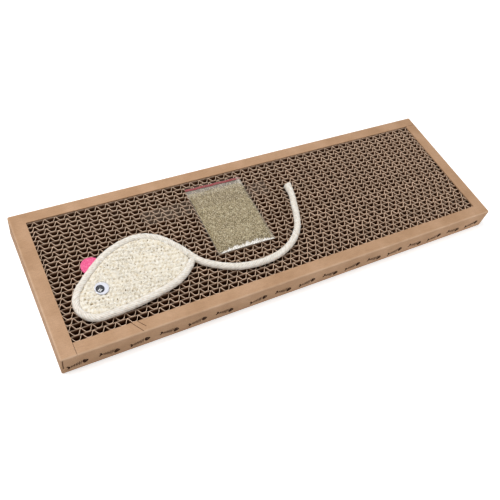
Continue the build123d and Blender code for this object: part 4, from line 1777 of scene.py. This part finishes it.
@dataclass
class CatnipBag:
    """The grip-seal bag of catnip and the tape over it, drawn on the bag's own axes: across, up and out.

    Attributes:
        centre: the bag's middle on the pad.
        tilt: how far it is turned on the pad, in degrees.
        width, height: the flat bag.
        film: thickness of the drawn film.
        fill_side, fill_top, fill_foot: the fill's edges: half its width, and its ends along the bag.
        side_rise, top_rise, foot_rise: how far in from these edges the bag is full.
        depth: how thick the filled bag is.
        curl, curl_reach: how far the bottom weld lifts off the pad, and how far up the bag this is felt.
        weld: the front film's height where the bag is flat.
        crease: how deep the film's soft creases are.
        ridge, ridge_reach: the zip's ridge in the front film, and its reach to either side.
        fill_floor, fill_base: the heights of the fill's underside and of its thinnest edge.
        heap_room, flake_room: how much lower than the film the heap and the flakes stay.
        crumb: how far the heap's crumbs stand out.
        flake_count: how many flakes lie on the fill.
        zip_up: the zip's middle along the bag.
        tape_up, tape_width: the tape's middle along the bag and its width.
        tape_ends: where the tape begins and ends across the bag.
        tape_film: its thickness.
        pad_gap, tape_gap: how far it keeps over the pad, and how much further over the bag's film.
        tape_ramp: how far beside the bag it comes down to the pad.
        tooth, tooth_pitch: the size and the spacing of the teeth that its ends are torn along.
        seed: picks all that is random in the bag.
        level: the height of the bag's back, from its solid.
    """

    centre: tuple[float, float] = (-0.0362, 0.0132)
    tilt: float = -1.0
    width: float = 0.055
    height: float = 0.076
    film: float = 0.00006
    fill_side: float = 0.0266
    fill_top: float = 0.0312
    fill_foot: float = -0.0358
    side_rise: float = 0.0052
    top_rise: float = 0.011
    foot_rise: float = 0.006
    depth: float = 0.0038
    curl: float = 0.0012
    curl_reach: float = 0.0045
    weld: float = 0.0005
    crease: float = 0.00011
    ridge: float = 0.0011
    ridge_reach: float = 0.0016
    fill_floor: float = 0.0002
    fill_base: float = 0.00035
    heap_room: float = 0.0007
    flake_room: float = 0.00045
    crumb: float = 0.00016
    flake_count: int = 5200
    zip_up: float = 0.0356
    tape_up: float = 0.0178
    tape_width: float = 0.015
    tape_ends: tuple[float, float] = (-0.0735, 0.0475)
    tape_film: float = 0.00005
    tape_gap: float = 0.00012
    pad_gap: float = 0.00006
    tape_ramp: float = 0.0022
    tooth: float = 0.0004
    tooth_pitch: float = 0.0016
    seed: int = 60
    level: float = field(init=False, default=0.0)

    def build(self) -> None:
        """Makes the films, the zip, the fill and the tape."""
        self.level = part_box("bag_back_film")[0].z
        self.films()
        self.zip_beads()
        self.heap()
        self.flakes()
        self.tape()

    def on_pad(self, across: Array, up: Array, out: Array) -> Array:
        """Puts points of the bag's own axes in their place on the pad.

        Args:
            across, up, out: the points on these axes, where out broadcasts.

        Returns:
            An array of points by 3.
        """
        turn = radians(self.tilt)
        x = self.centre[0] + across * cos(turn) - up * sin(turn)
        y = self.centre[1] + across * sin(turn) + up * cos(turn)
        return np.stack([x, y, self.level + np.broadcast_to(out, x.shape)], axis=-1)

    def swell(self, across: Array, up: Array) -> Array:
        """Gives the bag's fullness, from 0 at the welds to 1: a rounded rise from each edge, multiplied.

        Args:
            across, up: places on the bag's own axes.

        Returns:
            The fullness of each place.
        """
        sides = np.clip((self.fill_side - np.abs(across)) / self.side_rise, 0, 1)
        top = np.clip((self.fill_top - up) / self.top_rise, 0, 1)
        foot = np.clip((up - self.fill_foot) / self.foot_rise, 0, 1)
        return np.sin(sides * pi / 2) * np.sin(top * pi / 2) * np.sin(foot * pi / 2)

    def lift(self, across: Array, up: Array) -> Array:
        """Gives how far the bottom weld is lifted off the pad: most in its middle, not at all at its corners.

        Args:
            across, up: places on the bag's own axes.

        Returns:
            The lift of each place.
        """
        edge = np.exp(-(((up + self.height / 2) / self.curl_reach) ** 2))
        return self.curl * edge * np.sqrt(np.clip(1 - (2 * across / self.width) ** 2, 0, 1))

    def front_height(self, across: Array, up: Array) -> Array:
        """Gives the front film's height over the pad: fill, zip's ridge, lifted weld and creases, added up.

        Args:
            across, up: places on the bag's own axes.

        Returns:
            The height of each place.
        """
        swell = self.swell(across, up)
        creases = self.crease * RandomWaves(0.008, self.seed).at(across, 0.6 * up)
        ridge = self.ridge * np.exp(-(((up - self.zip_up) / self.ridge_reach) ** 2))
        slack = np.clip(swell * 3, 0.2, 1)
        return self.weld + self.depth * swell + ridge + self.lift(across, up) + creases * slack

    def films(self) -> None:
        """Makes the front and back films as thin sheets.

        They are milkier along the welds and under the zip, and a near-white glare is painted along the bottom
        weld.
        """
        across, up = np.meshgrid(np.linspace(-self.width / 2, self.width / 2, 111),
                                 np.linspace(-self.height / 2, self.height / 2, 153), indexing="ij")
        front = self.front_height(across, up)
        side_weld = smooth_step(np.abs(across), self.width / 2 - 0.0011, self.width / 2 - 0.0006)
        # fold, ragged and crumpled shape the band of painted glare along the bottom weld
        fold = np.sqrt(np.clip(1 - ((across - 0.001) / (0.47 * self.width)) ** 2, 0, 1))
        ragged = 0.8 + 0.16 * RandomWaves(0.0035, self.seed + 1, 12).at(across[:, :1])
        crumpled = np.clip(0.75 + 0.35 * RandomWaves(0.0016, self.seed + 6, 16).at(across, up), 0.25, 1)
        over_glare = up + self.height / 2 - 0.0040 * fold * ragged
        painted_glare = (1 - smooth_step(over_glare, -0.0004, 0.0005)) * crumpled
        header = smooth_step(up, self.fill_top - 0.009, self.fill_top) * (1 - smooth_step(up, 0.0335, 0.0345))
        right_weld = smooth_step(across, self.fill_side - 0.004, self.fill_side - 0.0012)
        right_weld *= 1 - smooth_step(across, self.fill_side - 0.0006, self.fill_side)
        haze = 0.03 + 0.02 * side_weld + 0.2 * right_weld + 0.9 * painted_glare + 0.16 * header
        sheet = Shells()
        sheet.add_sheet(self.on_pad(across, up, front), self.on_pad(across, up, front - self.film), haze)
        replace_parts(sheet.piece("front_film", ClearFilm(), Body.CATNIP_BAG), "bag_front_film")
        back = 0.0001 + 0.8 * self.lift(across, up)
        # the back film carries the painted glare too
        haze = 0.05 + 0.3 * painted_glare
        under = Shells()
        under.add_sheet(self.on_pad(across, up, back + self.film), self.on_pad(across, up, back), haze)
        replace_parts(under.piece("back_film", ClearFilm(), Body.CATNIP_BAG), "bag_back_film")

    def zip_beads(self) -> None:
        """Makes the zip's two halves: soft-edged flat beads across the bag, one over the other.

        A bead's outline is a rounded bar, a circle pressed flat by a power of its sine and cosine.
        """
        turn = np.linspace(0, 2 * pi, 24, endpoint=False)
        across = np.linspace(-self.width / 2 + 0.0002, self.width / 2 - 0.0002, 90)[:, None]
        square = np.sign(np.cos(turn)) * np.abs(np.cos(turn)) ** 0.45
        flat = np.sign(np.sin(turn)) * np.abs(np.sin(turn)) ** 0.45
        for name, node, half_width, low, thick in (
            ("zip_rib", "bag_zip_rib", 0.00095, 0.00032, 0.0004),
            ("zip_channel", "bag_zip_channel", 0.00115, 0.00078, 0.00052),
        ):
            wander = 0.00012 * RandomWaves(0.02, self.seed + 5, 6).at(across)
            up = self.zip_up + wander + half_width * square[None, :]
            out = low + thick / 2 + thick / 2 * flat[None, :] + 0 * across
            bead = Shells()
            bead.add_tube(self.on_pad(across + 0 * up, up, out))
            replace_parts(bead.piece(name, RedZip(), Body.CATNIP_BAG, smooth_angle=50), node)

    def heap(self) -> None:
        """Makes the fill's crumbly heap, which follows the swell, less room for the film and the flakes.

        Quick random waves make its crumbs.
        """
        across, up = np.meshgrid(np.linspace(-self.fill_side, self.fill_side, 150),
                                 np.linspace(self.fill_foot, self.fill_top, 170), indexing="ij")
        crumbs = RandomWaves(0.0017, self.seed + 2, 20).at(across, up)
        swell = self.swell(across, up)
        crumbly = self.crumb * crumbs * np.clip(4 * swell, 0, 1)
        top = self.fill_base + (self.depth - self.heap_room) * swell + crumbly
        dust = RandomWaves(0.0009, self.seed + 3, 20).at(across, up)
        tone = np.clip(0.45 + 0.2 * crumbs + 0.12 * dust, 0, 1)
        heap = Shells()
        under = self.on_pad(across, up, np.full_like(top, self.fill_floor))
        heap.add_sheet(self.on_pad(across, up, top), under, tone)
        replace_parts(heap.piece("catnip_heap", DriedLeaf(), Body.CATNIP_BAG), "catnip_fill")

    def flakes(self) -> None:
        """Scatters flakes over the heap: flat shapes of eight faces, turned and tipped at random."""
        rng = np.random.default_rng(self.seed + 4)
        count = self.flake_count
        spot_across = rng.uniform(-self.fill_side + 0.0006, self.fill_side - 0.0006, count)
        spot_up = rng.uniform(self.fill_foot + 0.0008, self.fill_top - 0.0012, count)
        lift = self.fill_base + (self.depth - self.flake_room) * self.swell(spot_across, spot_up)
        long, wide = rng.uniform(0.0004, 0.0014, count), rng.uniform(0.0003, 0.0007, count)
        thick = rng.uniform(0.00006, 0.00014, count)
        heading, tip = rng.uniform(0, 2 * pi, count), rng.normal(0, 0.16, count)
        star = np.array([(1, 0, 0), (0, 1, 0), (-1, 0, 0), (0, -1, 0), (0, 0, 1), (0, 0, -1)])
        local = star[None] * np.stack([long, wide, thick], axis=-1)[:, None]
        along, aside, over = (local[..., axis] for axis in range(3))
        cosine, sine = np.cos(heading)[:, None], np.sin(heading)[:, None]
        flake_across = spot_across[:, None] + along * cosine - aside * sine
        flake_up = spot_up[:, None] + along * sine + aside * cosine
        flake_out = lift[:, None] + over + along * np.sin(tip)[:, None]
        upper = [(0, 1, 4), (1, 2, 4), (2, 3, 4), (3, 0, 4)]
        lower = [(1, 0, 5), (2, 1, 5), (3, 2, 5), (0, 3, 5)]
        faces = np.array(upper + lower)
        flakes = Shells()
        flakes.add_copies(self.on_pad(flake_across, flake_up, flake_out), faces, rng.beta(1.7, 1.7, count))
        flakes.piece("catnip_flakes", DriedLeaf(), Body.CATNIP_BAG, smooth_angle=20)

    def tape(self) -> None:
        """Lays the tape over the bag: a thin sheet on the front film, ramped down to the pad beside it.

        Its torn ends are a zigzag, the arcsine of a sine across the tape.
        """
        start, end = self.tape_ends
        breadth = np.linspace(-0.5, 0.5, 41) * self.tape_width + self.tape_up
        share, up = np.meshgrid(np.linspace(0, 1, 240), breadth, indexing="ij")
        zigzag = self.tooth * np.arcsin(np.sin(2 * pi * up / self.tooth_pitch))
        torn = np.where(share < 0.5, 1 - smooth_step(share, 0, 0.02), smooth_step(share, 0.98, 1))
        across = start + share * (end - start) + zigzag * torn
        over = 1 - smooth_step(np.abs(across), self.width / 2, self.width / 2 + self.tape_ramp)
        inside = np.clip(across, -self.width / 2, self.width / 2)
        out = (self.front_height(inside, up) + self.tape_gap) * over + self.pad_gap
        tape = Shells()
        tape.add_sheet(self.on_pad(across, up, out + self.tape_film), self.on_pad(across, up, out))
        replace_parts(tape.piece("clear_tape", ClearTape(), Body.CATNIP_BAG), "bag_tape")


def main() -> None:
    """Builds the studio and each sub-assembly in order."""
    logging.basicConfig(level=logging.INFO, format="%(name)s %(message)s")
    for part in (Studio(), Mouse(), Tray(), Pad(), CatnipBag()):
        LOG.info("building %s", type(part).__name__)
        part.build()


if __name__ == "__main__":
    main()
